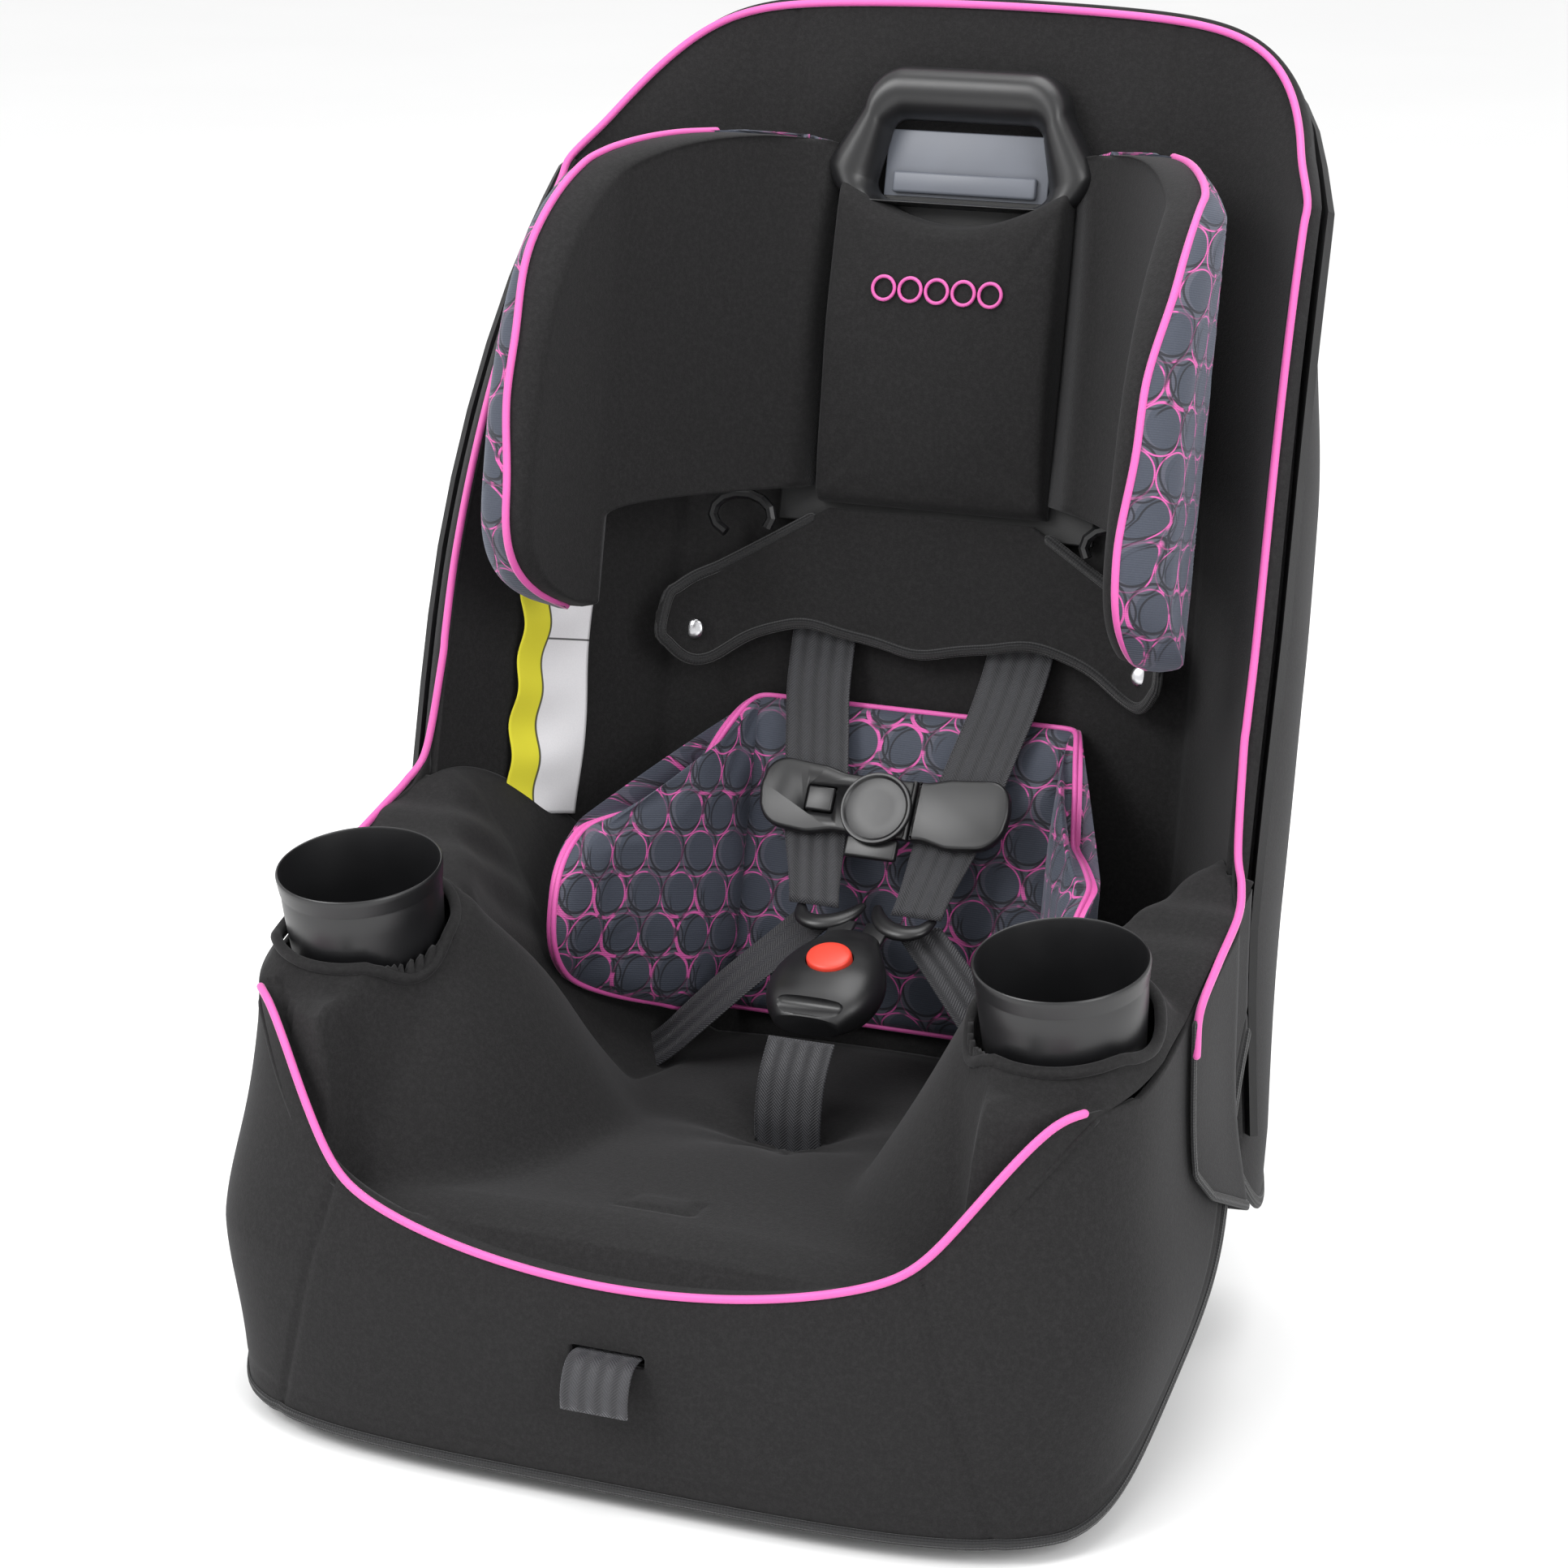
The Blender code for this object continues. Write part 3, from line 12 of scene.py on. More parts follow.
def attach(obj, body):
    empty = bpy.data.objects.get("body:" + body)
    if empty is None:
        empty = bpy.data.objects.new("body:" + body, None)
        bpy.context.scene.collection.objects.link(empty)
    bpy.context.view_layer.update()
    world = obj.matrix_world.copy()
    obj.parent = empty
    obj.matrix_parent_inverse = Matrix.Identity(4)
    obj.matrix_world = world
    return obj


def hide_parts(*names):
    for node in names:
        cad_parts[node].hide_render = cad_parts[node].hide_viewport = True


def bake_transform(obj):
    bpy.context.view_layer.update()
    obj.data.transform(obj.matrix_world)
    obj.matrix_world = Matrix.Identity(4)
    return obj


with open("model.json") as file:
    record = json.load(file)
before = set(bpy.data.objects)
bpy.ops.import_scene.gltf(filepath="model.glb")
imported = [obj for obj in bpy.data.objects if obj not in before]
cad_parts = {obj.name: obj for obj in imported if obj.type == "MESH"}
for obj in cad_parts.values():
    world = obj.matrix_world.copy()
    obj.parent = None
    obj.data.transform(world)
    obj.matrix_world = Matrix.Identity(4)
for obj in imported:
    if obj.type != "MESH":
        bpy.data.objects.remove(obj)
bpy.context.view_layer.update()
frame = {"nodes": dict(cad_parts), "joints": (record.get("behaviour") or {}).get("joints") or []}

bl_info = {
    "name": "Harnessed Child Seat",
    "version": (1, 0, 0),
    "blender": (4, 5, 0),
    "location": "View3D > Sidebar > Child Seat",
    "description": "Fabric, webbing and moulded pieces of a harnessed child seat",
    "category": "Add Mesh",
}

JOINT = {joint["name"]: joint for joint in frame["joints"]}
SIDES = ((1, "left"), (-1, "right"))

# Frame of the back: x across, t up the slope, n off it towards the sitter
RIGHT = np.array((1.0, 0.0, 0.0))
UP = np.array(JOINT["headrest_height"]["axis"])
OUT = np.array((0.0, -UP[2], UP[1]))
BACK_FOOT = np.array((0.0, 0.118, 0.100))
BACK_LENGTH = 0.592
BACK_HALF = 0.225
BACK_FLAT = 0.65
RIM_DEPTH = 0.145
RIM_LEVEL = 0.12
RIM_FOOT_LOSS = 0.046
WALL_CURVE = 1.4
COVER_FOOT = 0.004
COVER_THICK = 0.0105
WRAP_TOP = 0.83 * BACK_LENGTH
WRAP_REAR = -0.0185
WRAP_TURN_IN = 0.018
CLOTH_THICK = 0.0022

# Seat: outline of the skirt, levels of its piped edge
SKIRT_CENTRE_Y = -0.100
SKIRT_HALF = 0.240
SKIRT_REACH = 0.152
ARM_EDGE_Z = 0.219
FRONT_EDGE_Z = 0.116
SIDE_EDGE_Y = (-0.18, -0.10, -0.058, -0.016, 0.015)
SIDE_EDGE_Z = (ARM_EDGE_Z - 0.0015, 0.236, 0.252, 0.264, 0.275)
SKIRT_END_Y = 0.006
ARM_TOP_Y = -0.18
CUP_AXIS = np.array(JOINT["cup_lift_left"]["axis"])
CUP_RIM = np.array((0.189, -0.141, 0.275))
COLLAR_RADIUS = 0.0464
CUP_OPENING = 0.0463
CROTCH_Y = -0.026
SLIT_Y = -0.187

# Headrest
HEAD_PAD_HALF = 0.0675
HEAD_PAD_FOOT = 0.3135
FLAP_HALF = 0.1480
SNAP_X = 0.1320
SNAP_T = 0.2355

# Harness
STRAP_NEAR = np.array((0.0, 0.083, 0.2045))
STRAP_FAR = np.array((0.0, 0.150, 0.308))
STRAP_RUN = np.array(JOINT["chest_clip_height"]["axis"])
STRAP_FACE = -np.array(JOINT["chest_clip_press"]["axis"])
BUCKLE_ALONG = -np.array(JOINT["buckle_release"]["axis"])
BUCKLE_FACE = -np.array(JOINT["buckle_press"]["axis"])
BUCKLE_FOOT = np.array((0.0, 0.0, 0.166))
STRAP_TOP_X = 0.058
STRAP_LOW_X = 0.030
SLOT_T = 0.268
LAP_WIDTH = 0.026
ADJUSTER_WIDTH = 0.036
CLIP_END = 0.0730
CLIP_FACE = 0.0019
CLIP_FRONT = CLIP_FACE + 0.0070


# ---------------------------------------------------------------- sizes and colours

class SeatSizes(bpy.types.PropertyGroup):
    """Sizes of trim that a user would change."""

    piping: bpy.props.FloatProperty(
        name="Piping radius", description="Radius of the piping on the covers",
        default=0.0021, min=0.0005, max=0.006, unit="LENGTH")
    binding: bpy.props.FloatProperty(
        name="Binding width", description="Width of the elastic binding on free edges",
        default=0.0085, min=0.002, max=0.03, unit="LENGTH")
    seam: bpy.props.FloatProperty(
        name="Seam depth", description="Depth of the sewn seams in the covers",
        default=0.0016, min=0.0, max=0.006, unit="LENGTH")
    webbing: bpy.props.FloatProperty(
        name="Webbing width", description="Width of the harness webbing",
        default=0.038, min=0.02, max=0.05, unit="LENGTH")
    print_pitch: bpy.props.FloatProperty(
        name="Print pitch", description="Distance between the printed discs",
        default=0.0265, min=0.01, max=0.08, unit="LENGTH")


def colour_property(label, words, value):
    return bpy.props.FloatVectorProperty(
        name=label, description=words, default=value, size=3, min=0.0, max=1.0, subtype="COLOR")


class SeatColours(bpy.types.PropertyGroup):
    """Colours of the seat's materials."""

    knit: colour_property("Knit", "Black knitted covers", (0.0092, 0.0089, 0.0092))
    knit_light: colour_property("Knit light", "Lighter yarns of the knit", (0.0215, 0.0209, 0.0215))
    pink: colour_property("Pink", "Piping and satin gusset", (0.74, 0.115, 0.42))
    slate: colour_property("Slate", "Printed discs", (0.052, 0.060, 0.082))
    slate_light: colour_property("Slate light", "Ground between the discs", (0.082, 0.085, 0.112))
    webbing: colour_property("Webbing", "Harness webbing", (0.024, 0.024, 0.027))
    shell: colour_property("Shell", "Grained black plastic", (0.0075, 0.0075, 0.0080))
    gloss: colour_property("Smooth plastic", "Semi-gloss black plastic", (0.0080, 0.0080, 0.0088))
    grey: colour_property("Grey plastic", "Slate-grey levers", (0.125, 0.135, 0.160))
    red: colour_property("Red", "Release button", (0.83, 0.060, 0.035))
    tag: colour_property("Tag", "Sewn-in tag", (0.80, 0.79, 0.81))
    tag_band: colour_property("Tag band", "Coloured band of the tag", (0.72, 0.66, 0.03))


def sizes():
    return bpy.context.scene.seat_sizes


def colours():
    return bpy.context.scene.seat_colours


# ---------------------------------------------------------------- shader expressions

class Value:
    """A shader node's output that takes part in sums."""

    def __init__(self, tree, socket):
        self.tree = tree
        self.socket = socket

    def maths(self, operation, *terms):
        node = add_node(self.tree, "ShaderNodeMath", {"operation": operation}, dict(enumerate(terms)))
        return Value(self.tree, node.outputs[0])

    def __add__(self, other):
        return self.maths("ADD", self, other)

    def __radd__(self, other):
        return self.maths("ADD", other, self)

    def __sub__(self, other):
        return self.maths("SUBTRACT", self, other)

    def __rsub__(self, other):
        return self.maths("SUBTRACT", other, self)

    def __mul__(self, other):
        return self.maths("MULTIPLY", self, other)

    def __rmul__(self, other):
        return self.maths("MULTIPLY", other, self)

    def __truediv__(self, other):
        return self.maths("DIVIDE", self, other)

    def fract(self):
        return self.maths("FRACT", self)

    def sine(self):
        return self.maths("SINE", self)

    def root(self):
        return self.maths("SQRT", self)

    def size(self):
        return self.maths("ABSOLUTE", self)

    def least(self, other):
        return self.maths("MINIMUM", self, other)

    def most(self, other):
        return self.maths("MAXIMUM", self, other)

    def ramp(self, low, high):
        """0 at low, 1 at high, smooth between."""
        node = add_node(self.tree, "ShaderNodeMapRange", {"interpolation_type": "SMOOTHSTEP"},
                        {0: self, 1: low, 2: high})
        return Value(self.tree, node.outputs[0])


def plug(tree, place, term):
    """Links a value into a socket, or sets the socket to a number or colour."""
    if isinstance(term, Value):
        tree.links.new(term.socket, place)
    elif hasattr(place.default_value, "__len__") and hasattr(term, "__len__"):
        values = tuple(term)
        place.default_value = values + (1.0,) * (len(place.default_value) - len(values))
    else:
        place.default_value = term


def add_node(tree, kind, settings=None, inputs=None):
    """Any node, from its type, its settings and what goes into its sockets."""
    node = tree.nodes.new(kind)
    for key, value in (settings or {}).items():
        setattr(node, key, value)
    for key, value in (inputs or {}).items():
        plug(tree, node.inputs[key], value)
    return node


class Finish:
    """A material under construction."""

    def __init__(self, name, **constants):
        self.material = bpy.data.materials.new(name)
        self.material.use_nodes = True
        self.tree = self.material.node_tree
        self.shader = self.tree.nodes["Principled BSDF"]
        for socket, value in constants.items():
            plug(self.tree, self.shader.inputs[socket.replace("_", " ")], value)

    def node(self, kind, settings=None, inputs=None, output=0):
        node = add_node(self.tree, kind, settings, inputs)
        return Value(self.tree, node.outputs[output])

    def place(self):
        return self.node("ShaderNodeTexCoord", output="Object")

    def chart(self):
        """The piece's own flat coordinates, in metres."""
        flat = self.node("ShaderNodeUVMap", {"uv_map": "flat"})
        split = add_node(self.tree, "ShaderNodeSeparateXYZ", inputs={0: flat})
        return [Value(self.tree, socket) for socket in split.outputs[:2]]

    def noise(self, scale, detail=2.0):
        inputs = {"Scale": scale, "Detail": detail, "Vector": self.place()}
        return self.node("ShaderNodeTexNoise", inputs=inputs)

    def mix(self, factor, low, high):
        return self.node("ShaderNodeMix", {"data_type": "RGBA"}, {0: factor, 6: low, 7: high}, 2)

    def feed(self, socket, value):
        plug(self.tree, self.shader.inputs[socket], value)

    def bump(self, height, strength, distance):
        inputs = {"Height": height, "Strength": strength, "Distance": distance}
        self.feed("Normal", self.node("ShaderNodeBump", inputs=inputs))


MADE = {}


def finish(maker):
    """Each finish is made once."""
    if maker.__name__ not in MADE:
        MADE[maker.__name__] = maker().material
    return MADE[maker.__name__]


def shade(colour, factor):
    """A darker or lighter shade of a colour."""
    return tuple(channel * factor for channel in colour)


def black_knit():
    made = Finish("black_knit", Sheen_Weight=0.10, Sheen_Roughness=0.45, Sheen_Tint=(0.6, 0.6, 0.62),
                  Specular_IOR_Level=0.25)
    yarn = made.noise(1300.0, 2.0)
    heather = made.noise(420.0, 3.0)
    cloud = made.noise(14.0, 3.0)
    light = (heather.ramp(0.35, 0.75) * 0.35 + yarn.ramp(0.35, 0.70) * 0.30) * (cloud * 0.5 + 0.75)
    made.feed("Base Color", made.mix(light, colours().knit, colours().knit_light))
    made.feed("Roughness", 0.86 + 0.10 * cloud)
    made.bump(yarn + heather * 0.5, 0.30, 0.0005)
    return made


def ribbed_binding():
    made = Finish("ribbed_binding", Sheen_Weight=0.15, Specular_IOR_Level=0.3)
    across, along = made.chart()
    rib = (across * (2 * math.pi / 0.0021)).sine() * 0.5 + 0.5
    stitch = (along * (2 * math.pi / 0.0016)).sine() * 0.5 + 0.5
    light = rib * 0.6 + stitch * 0.2
    made.feed("Base Color", made.mix(light, (0.006, 0.006, 0.0065), (0.026, 0.026, 0.028)))
    made.feed("Roughness", 0.9 - 0.15 * rib)
    made.bump(rib + stitch * 0.35, 0.7, 0.0008)
    return made


def pink_satin():
    made = Finish("pink_satin", Sheen_Weight=0.5, Sheen_Roughness=0.3, Sheen_Tint=(1.0, 0.75, 0.9),
                  Specular_IOR_Level=0.45)
    thread = made.noise(900.0, 2.0)
    cloud = made.noise(40.0, 2.0)
    pink = colours().pink
    made.feed("Base Color", made.mix(thread * 0.5 + cloud * 0.4, shade(pink, 0.78), pink))
    made.feed("Roughness", 0.42 + 0.2 * cloud)
    made.bump(thread, 0.2, 0.0004)
    return made


def lattice_away(x, y, pitch):
    """Distances to the nearest centre in each of the two sets of staggered rows."""
    tall = pitch * math.sqrt(3.0)
    found = []
    for step in (0.0, 0.5):
        a = (x / pitch + step).fract() - 0.5
        b = ((y / tall + step).fract() - 0.5) * math.sqrt(3.0)
        found.append((a * a + b * b).root() * pitch)
    return found


def ring_of(x, y, pitch, shift, radius, line):
    """Mask of rings on the staggered rows, moved by `shift`, all in metres."""
    masks = [1.0 - ((away - radius).size() - line * 0.5).ramp(0.0, 0.0004)
             for away in lattice_away(x + shift[0], y + shift[1], pitch)]
    return masks[0].most(masks[1])


def disc_print():
    made = Finish("disc_print", Sheen_Weight=0.25, Sheen_Roughness=0.4, Sheen_Tint=(0.7, 0.75, 0.9),
                  Specular_IOR_Level=0.35)
    pitch = sizes().print_pitch
    u, v = made.chart()
    bend = made.noise(38.0, 1.0)
    x = u + (bend - 0.5) * 0.0025
    y = v + (made.noise(31.0, 1.0) - 0.5) * 0.0025
    first, second = lattice_away(x, y, pitch)
    disc = 1.0 - (first.least(second) - 0.0107).ramp(0.0, 0.0005)
    patch = made.noise(23.0, 1.0)
    dark = ring_of(x, y, pitch, (0.0016, -0.0012), 0.0126, 0.0010)
    dark = dark.most(ring_of(x, y, pitch, (-0.0036, 0.0030), 0.0124, 0.0007) * patch.ramp(0.45, 0.55))
    broken = made.noise(95.0, 1.0).ramp(0.44, 0.54)
    fine = ring_of(x, y, pitch, (0.0030, 0.0018), 0.0128, 0.0004) * (0.15 + 0.85 * broken)
    thick = ring_of(x, y, pitch, (0.0024, 0.0012), 0.0126, 0.0009) * broken * patch.ramp(0.52, 0.62)
    ground = made.mix(disc, colours().slate_light, colours().slate)
    ground = made.mix(dark * 0.85, ground, (0.012, 0.012, 0.016))
    printed = made.mix(fine.most(thick) * 0.88, ground, colours().pink)
    rib = (v * (2 * math.pi / 0.0012)).sine() * 0.5 + 0.5
    yarn = made.noise(1100.0, 2.0)
    made.feed("Base Color", made.mix(rib * 0.10 + yarn * 0.12, printed, (0.0, 0.0, 0.0)))
    made.feed("Roughness", 0.62 + 0.2 * yarn)
    made.bump(rib * 0.6 + yarn * 0.5, 0.35, 0.0005)
    return made


def webbing():
    made = Finish("webbing", Sheen_Weight=0.25, Sheen_Roughness=0.35, Sheen_Tint=(0.8, 0.8, 0.85),
                  Specular_IOR_Level=0.4)
    u, v = made.chart()
    bands = (u * (2 * math.pi / 0.0085)).sine() * 0.5 + 0.5
    twill = ((u + v) * (2 * math.pi / 0.0017)).sine() * 0.5 + 0.5
    back_twill = ((u - v) * (2 * math.pi / 0.0017)).sine() * 0.5 + 0.5
    weave = twill * bands + back_twill * (1.0 - bands)
    yarn = made.noise(900.0, 2.0)
    base = colours().webbing
    made.feed("Base Color", made.mix(weave * 0.45 + bands * 0.30 + yarn * 0.15,
                                     shade(base, 0.45), shade(base, 2.1)))
    made.feed("Roughness", 0.62 - 0.14 * bands)
    made.bump(weave + yarn * 0.4, 0.55, 0.0006)
    return made


def plastic(name, colour, shades, specular, cloud, roughness, grain, strength, depth):
    """Moulded plastic: two shades in soft clouds, under a fine grain."""
    made = Finish(name, Specular_IOR_Level=specular)
    patches = made.noise(*cloud)
    made.feed("Base Color", made.mix(patches, shade(colour, shades[0]), shade(colour, shades[1])))
    made.feed("Roughness", roughness[0] + roughness[1] * patches)
    made.bump(made.noise(*grain), strength, depth)
    return made


def grained_plastic():
    return plastic("grained_plastic", colours().shell, (0.8, 1.5), 0.45, (30.0, 3.0), (0.42, 0.16),
                   (1500.0, 2.0), 0.25, 0.0003)


def smooth_plastic():
    return plastic("smooth_plastic", colours().gloss, (0.85, 1.3), 0.55, (45.0, 3.0), (0.30, 0.12),
                   (2200.0, 1.0), 0.08, 0.0002)


def grey_plastic():
    return plastic("grey_plastic", colours().grey, (0.85, 1.15), 0.5, (35.0, 2.0), (0.34, 0.12),
                   (1800.0, 1.0), 0.1, 0.0002)


def red_plastic():
    return plastic("red_plastic", colours().red, (0.9, 1.0), 0.5, (60.0, 2.0), (0.34, 0.1),
                   (700.0, 2.0), 0.1, 0.0003)


def bright_steel():
    made = Finish("bright_steel", Metallic=1.0)
    cloud = made.noise(120.0, 3.0)
    made.feed("Base Color", made.mix(cloud, (0.55, 0.55, 0.57), (0.75, 0.75, 0.77)))
    made.feed("Roughness", 0.20 + 0.16 * cloud)
    return made


def tag_cloth():
    made = Finish("tag_cloth", Sheen_Weight=0.1)
    u, v = made.chart()
    yarn = made.noise(1200.0, 2.0)
    white = made.mix(yarn * 0.5, colours().tag, (0.62, 0.61, 0.64))
    band = 1.0 - (u - 0.0170).ramp(0.0, 0.0004)
    edge = 1.0 - ((u - 0.0170).size() - 0.0005).ramp(0.0, 0.0003)
    rule = 1.0 - ((v - 0.098).size() - 0.0004).ramp(0.0, 0.0003)
    made.feed("Base Color", made.mix((edge.most(rule * (1.0 - band))) * 0.9,
                                     made.mix(band, white, colours().tag_band), (0.02, 0.02, 0.02)))
    made.feed("Roughness", 0.75 + 0.15 * yarn)
    made.bump(yarn, 0.2, 0.0003)
    return made


def floor_paint():
    made = Finish("floor_paint", Specular_IOR_Level=0.2)
    cloud = made.noise(2.0, 2.0)
    made.feed("Base Color", made.mix(cloud, (0.90, 0.90, 0.90), (0.93, 0.93, 0.93)))
    made.feed("Roughness", 0.7 + 0.1 * cloud)
    return made


# ---------------------------------------------------------------- mesh helpers

def unit(vectors):
    """Vectors of length one."""
    vectors = np.asarray(vectors, float)
    return vectors / np.maximum(np.linalg.norm(vectors, axis=-1, keepdims=True), 1e-12)


def smooth(value):
    """An eased step from 0 to 1."""
    value = np.clip(value, 0.0, 1.0)
    return value * value * (3.0 - 2.0 * value)


def bell(distance, width):
    """A bump of height 1 that fades over a width."""
    return np.exp(-(np.asarray(distance) / width) ** 2)


def round_over(share):
    """A quarter circle's rise, from 0 to 1."""
    return np.sqrt(1.0 - (1.0 - share) ** 2)


def soft_most(a, b, width):
    """The greater of two, with the corner between them eased."""
    return 0.5 * (a + b + np.sqrt((a - b) ** 2 + width ** 2))


def soft_least(a, b, width):
    return -soft_most(-a, -b, width)


def lengths_along(path):
    """Length of a path up to each of its points."""
    return np.concatenate([[0.0], np.linalg.norm(np.diff(path, axis=0), axis=1).cumsum()])


def ripple(points, size, seed):
    """Soft waves of about -1 to 1 over points in space."""
    rng = np.random.default_rng(seed)
    total = np.zeros(points.shape[:-1])
    for _ in range(7):
        heading = unit(rng.normal(size=3))
        wave = size * rng.uniform(0.7, 1.7)
        total += np.sin(points @ heading * (2 * math.pi / wave) + rng.uniform(0.0, 2 * math.pi))
    return total / 4.0


def grid_normals(points):
    """Directions off the face of a grid."""
    return unit(np.cross(np.gradient(points, axis=1), np.gradient(points, axis=0)))


def grid_faces(rows, columns, start=0, flip=False):
    index = np.arange(rows * columns).reshape(rows, columns) + start
    quads = np.stack([index[:-1, :-1], index[:-1, 1:], index[1:, 1:], index[1:, :-1]], -1).reshape(-1, 4)
    return quads[:, ::-1] if flip else quads


def skin(count, sides):
    """Faces over a row of closed sections, with both ends capped."""
    index = np.arange(count * sides).reshape(count, sides)
    turned_index = np.roll(index, -1, 1)
    quads = np.stack([index[:-1], turned_index[:-1], turned_index[1:], index[1:]], -1).reshape(-1, 4)
    return quads.tolist() + [index[0][::-1].tolist(), index[-1].tolist()]


def looped_skin(count, sides):
    """Faces over closed sections whose last one meets the first."""
    index = np.arange(count * sides).reshape(count, sides)
    ahead = np.roll(index, -1, 0)
    return np.stack([index, np.roll(index, -1, 1), np.roll(ahead, -1, 1), ahead], -1).reshape(-1, 4)


def link(name, data):
    """An object of this data, in the scene."""
    thing = bpy.data.objects.new(name, data)
    bpy.context.scene.collection.objects.link(thing)
    return thing


def make(name, points, faces, material, flat=None):
    """A mesh object; flat gives each point's place on the cut cloth, in metres."""
    mesh = bpy.data.meshes.new(name)
    places = np.asarray(points, float).reshape(-1, 3).tolist()
    mesh.from_pydata(places, [], [[int(corner) for corner in face] for face in faces])
    if flat is not None:
        layer = mesh.uv_layers.new(name="flat")
        corners = np.empty(len(mesh.loops), np.int32)
        mesh.loops.foreach_get("vertex_index", corners)
        spots = np.asarray(flat, float).reshape(-1, 2)[corners]
        layer.data.foreach_set("uv", spots.astype(np.float32).ravel())
    mesh.materials.append(material)
    mesh.shade_smooth()
    return link(name, mesh)


def flat_chart(points):
    """Arc lengths along rows and columns, as a cloth's own coordinates."""
    across = np.concatenate([np.zeros((points.shape[0], 1)),
                             np.linalg.norm(np.diff(points, axis=1), axis=-1).cumsum(1)], 1)
    across -= across[:, points.shape[1] // 2][:, None]
    up = np.concatenate([np.zeros((1, points.shape[1])),
                         np.linalg.norm(np.diff(points, axis=0), axis=-1).cumsum(0)], 0)
    return np.stack([across, up], -1)


def slab(name, front, back, material, rim=None, chart=None):
    """A closed piece between two grids; the strip between them may have its own material."""
    rows, columns = front.shape[:2]
    total = rows * columns
    index = np.arange(total).reshape(rows, columns)
    loop = np.concatenate([index[0, :-1], index[:-1, -1], index[-1, :0:-1], index[:0:-1, 0]])
    following = np.roll(loop, -1)
    strip = np.stack([loop, loop + total, following + total, following], -1)
    faces = np.concatenate([grid_faces(rows, columns), grid_faces(rows, columns, total, True), strip])
    chart = flat_chart(front) if chart is None else chart
    points = np.concatenate([front.reshape(-1, 3), back.reshape(-1, 3)])
    piece = make(name, points, faces, material, np.concatenate([chart.reshape(-1, 2)] * 2))
    if rim is not None:
        piece.data.materials.append(rim)
        for face in piece.data.polygons[-len(strip):]:
            face.material_index = 1
    return piece


def thicken(piece, thickness):
    """Gives cloth its thickness behind its face."""
    solid = piece.modifiers.new("thickness", "SOLIDIFY")
    solid.thickness = thickness
    solid.offset = -1.0
    return piece


def sheet(name, points, thickness, material, chart=None):
    """A grid of cloth."""
    chart = flat_chart(points) if chart is None else chart
    return thicken(make(name, points, grid_faces(*points.shape[:2]), material, chart), thickness)


def refine(piece):
    """Smooths a piece by one subdivision."""
    divide = piece.modifiers.new("fine", "SUBSURF")
    divide.levels = 1
    divide.render_levels = 1


def resample(points, spacing):
    """The same path with evenly spaced points."""
    points = np.asarray(points, float)
    lengths = lengths_along(points)
    count = max(3, int(round(lengths[-1] / spacing)) + 1)
    wanted = np.linspace(0.0, lengths[-1], count)
    return np.stack([np.interp(wanted, lengths, points[:, k]) for k in range(points.shape[1])], -1)


def spline(points, spacing=0.003):
    """A smooth curve through the points, evenly spaced."""
    points = np.asarray(points, float)
    padded = np.concatenate([[2 * points[0] - points[1]], points, [2 * points[-1] - points[-2]]])
    fine = []
    for k in range(len(points) - 1):
        a, b, c, d = padded[k:k + 4]
        for s in np.linspace(0.0, 1.0, 12, endpoint=False):
            fine.append(0.5 * (2 * b + (c - a) * s + (2 * a - 5 * b + 4 * c - d) * s ** 2
                               + (3 * b - a - 3 * c + d) * s ** 3))
    fine.append(points[-1])
    return resample(fine, spacing)


def tube(name, path, radius, material, sides=12, squash=1.0, face=None):
    """A round or flattened tube with rounded ends along a path."""
    path = np.asarray(path, float)
    radius = np.broadcast_to(np.asarray(radius, float), (len(path),))
    ahead = unit(np.gradient(path, axis=0))
    normal = unit(np.cross(ahead[0], (0.3, 0.5, 0.81)) if face is None else face)
    rings = []
    cap = [(-0.9, 0.35), (-0.6, 0.75), (-0.25, 0.96)]
    turn = np.linspace(0.0, 2 * math.pi, sides, endpoint=False)
    centres = [path[0] + ahead[0] * radius[0] * step for step, _ in cap] + list(path)
    centres += [path[-1] - ahead[-1] * radius[-1] * step for step, _ in reversed(cap)]
    radii = [radius[0] * share for _, share in cap] + list(radius)
    radii += [radius[-1] * share for _, share in reversed(cap)]
    headings = [ahead[0]] * 3 + list(ahead) + [ahead[-1]] * 3
    for centre, wide, heading in zip(centres, radii, headings):
        normal = unit(normal - heading * (normal @ heading))
        side = np.cross(heading, normal)
        section = np.cos(turn)[:, None] * normal * squash + np.sin(turn)[:, None] * side
        rings.append(centre + wide * section)
    along = lengths_along(centres)
    chart = np.stack(np.broadcast_arrays(turn[None, :] * radius.mean(), along[:, None]), -1)
    return make(name, rings, skin(len(rings), sides), material, chart)


def ribbon(name, route, acrosses, outs, width, material, thick=0.0013):
    """Webbing with rolled edges. Width may vary along the route."""
    route = np.asarray(route, float)
    width = np.broadcast_to(np.asarray(width, float), (len(route),))
    acrosses = unit(acrosses)
    outs = unit(np.asarray(outs) - acrosses * np.sum(np.asarray(outs) * acrosses, -1, keepdims=True))
    shares = np.array((-0.5, -0.485, -0.44, -0.3, -0.15, 0.0, 0.15, 0.3, 0.44, 0.485, 0.5))
    lift = np.array((0.0, 0.36, 0.5, 0.46, 0.44, 0.44, 0.44, 0.46, 0.5, 0.36, 0.0)) * thick
    u = np.concatenate([shares, shares[-2:0:-1]])
    h = np.concatenate([lift, -lift[-2:0:-1]])
    rings = (route[:, None] + (u[None, :, None] * width[:, None, None]) * acrosses[:, None]
             + h[None, :, None] * outs[:, None])
    chart = np.stack(np.broadcast_arrays(u[None, :] * width[:, None], lengths_along(route)[:, None]), -1)
    return make(name, rings, skin(*rings.shape[:2]), material, chart)


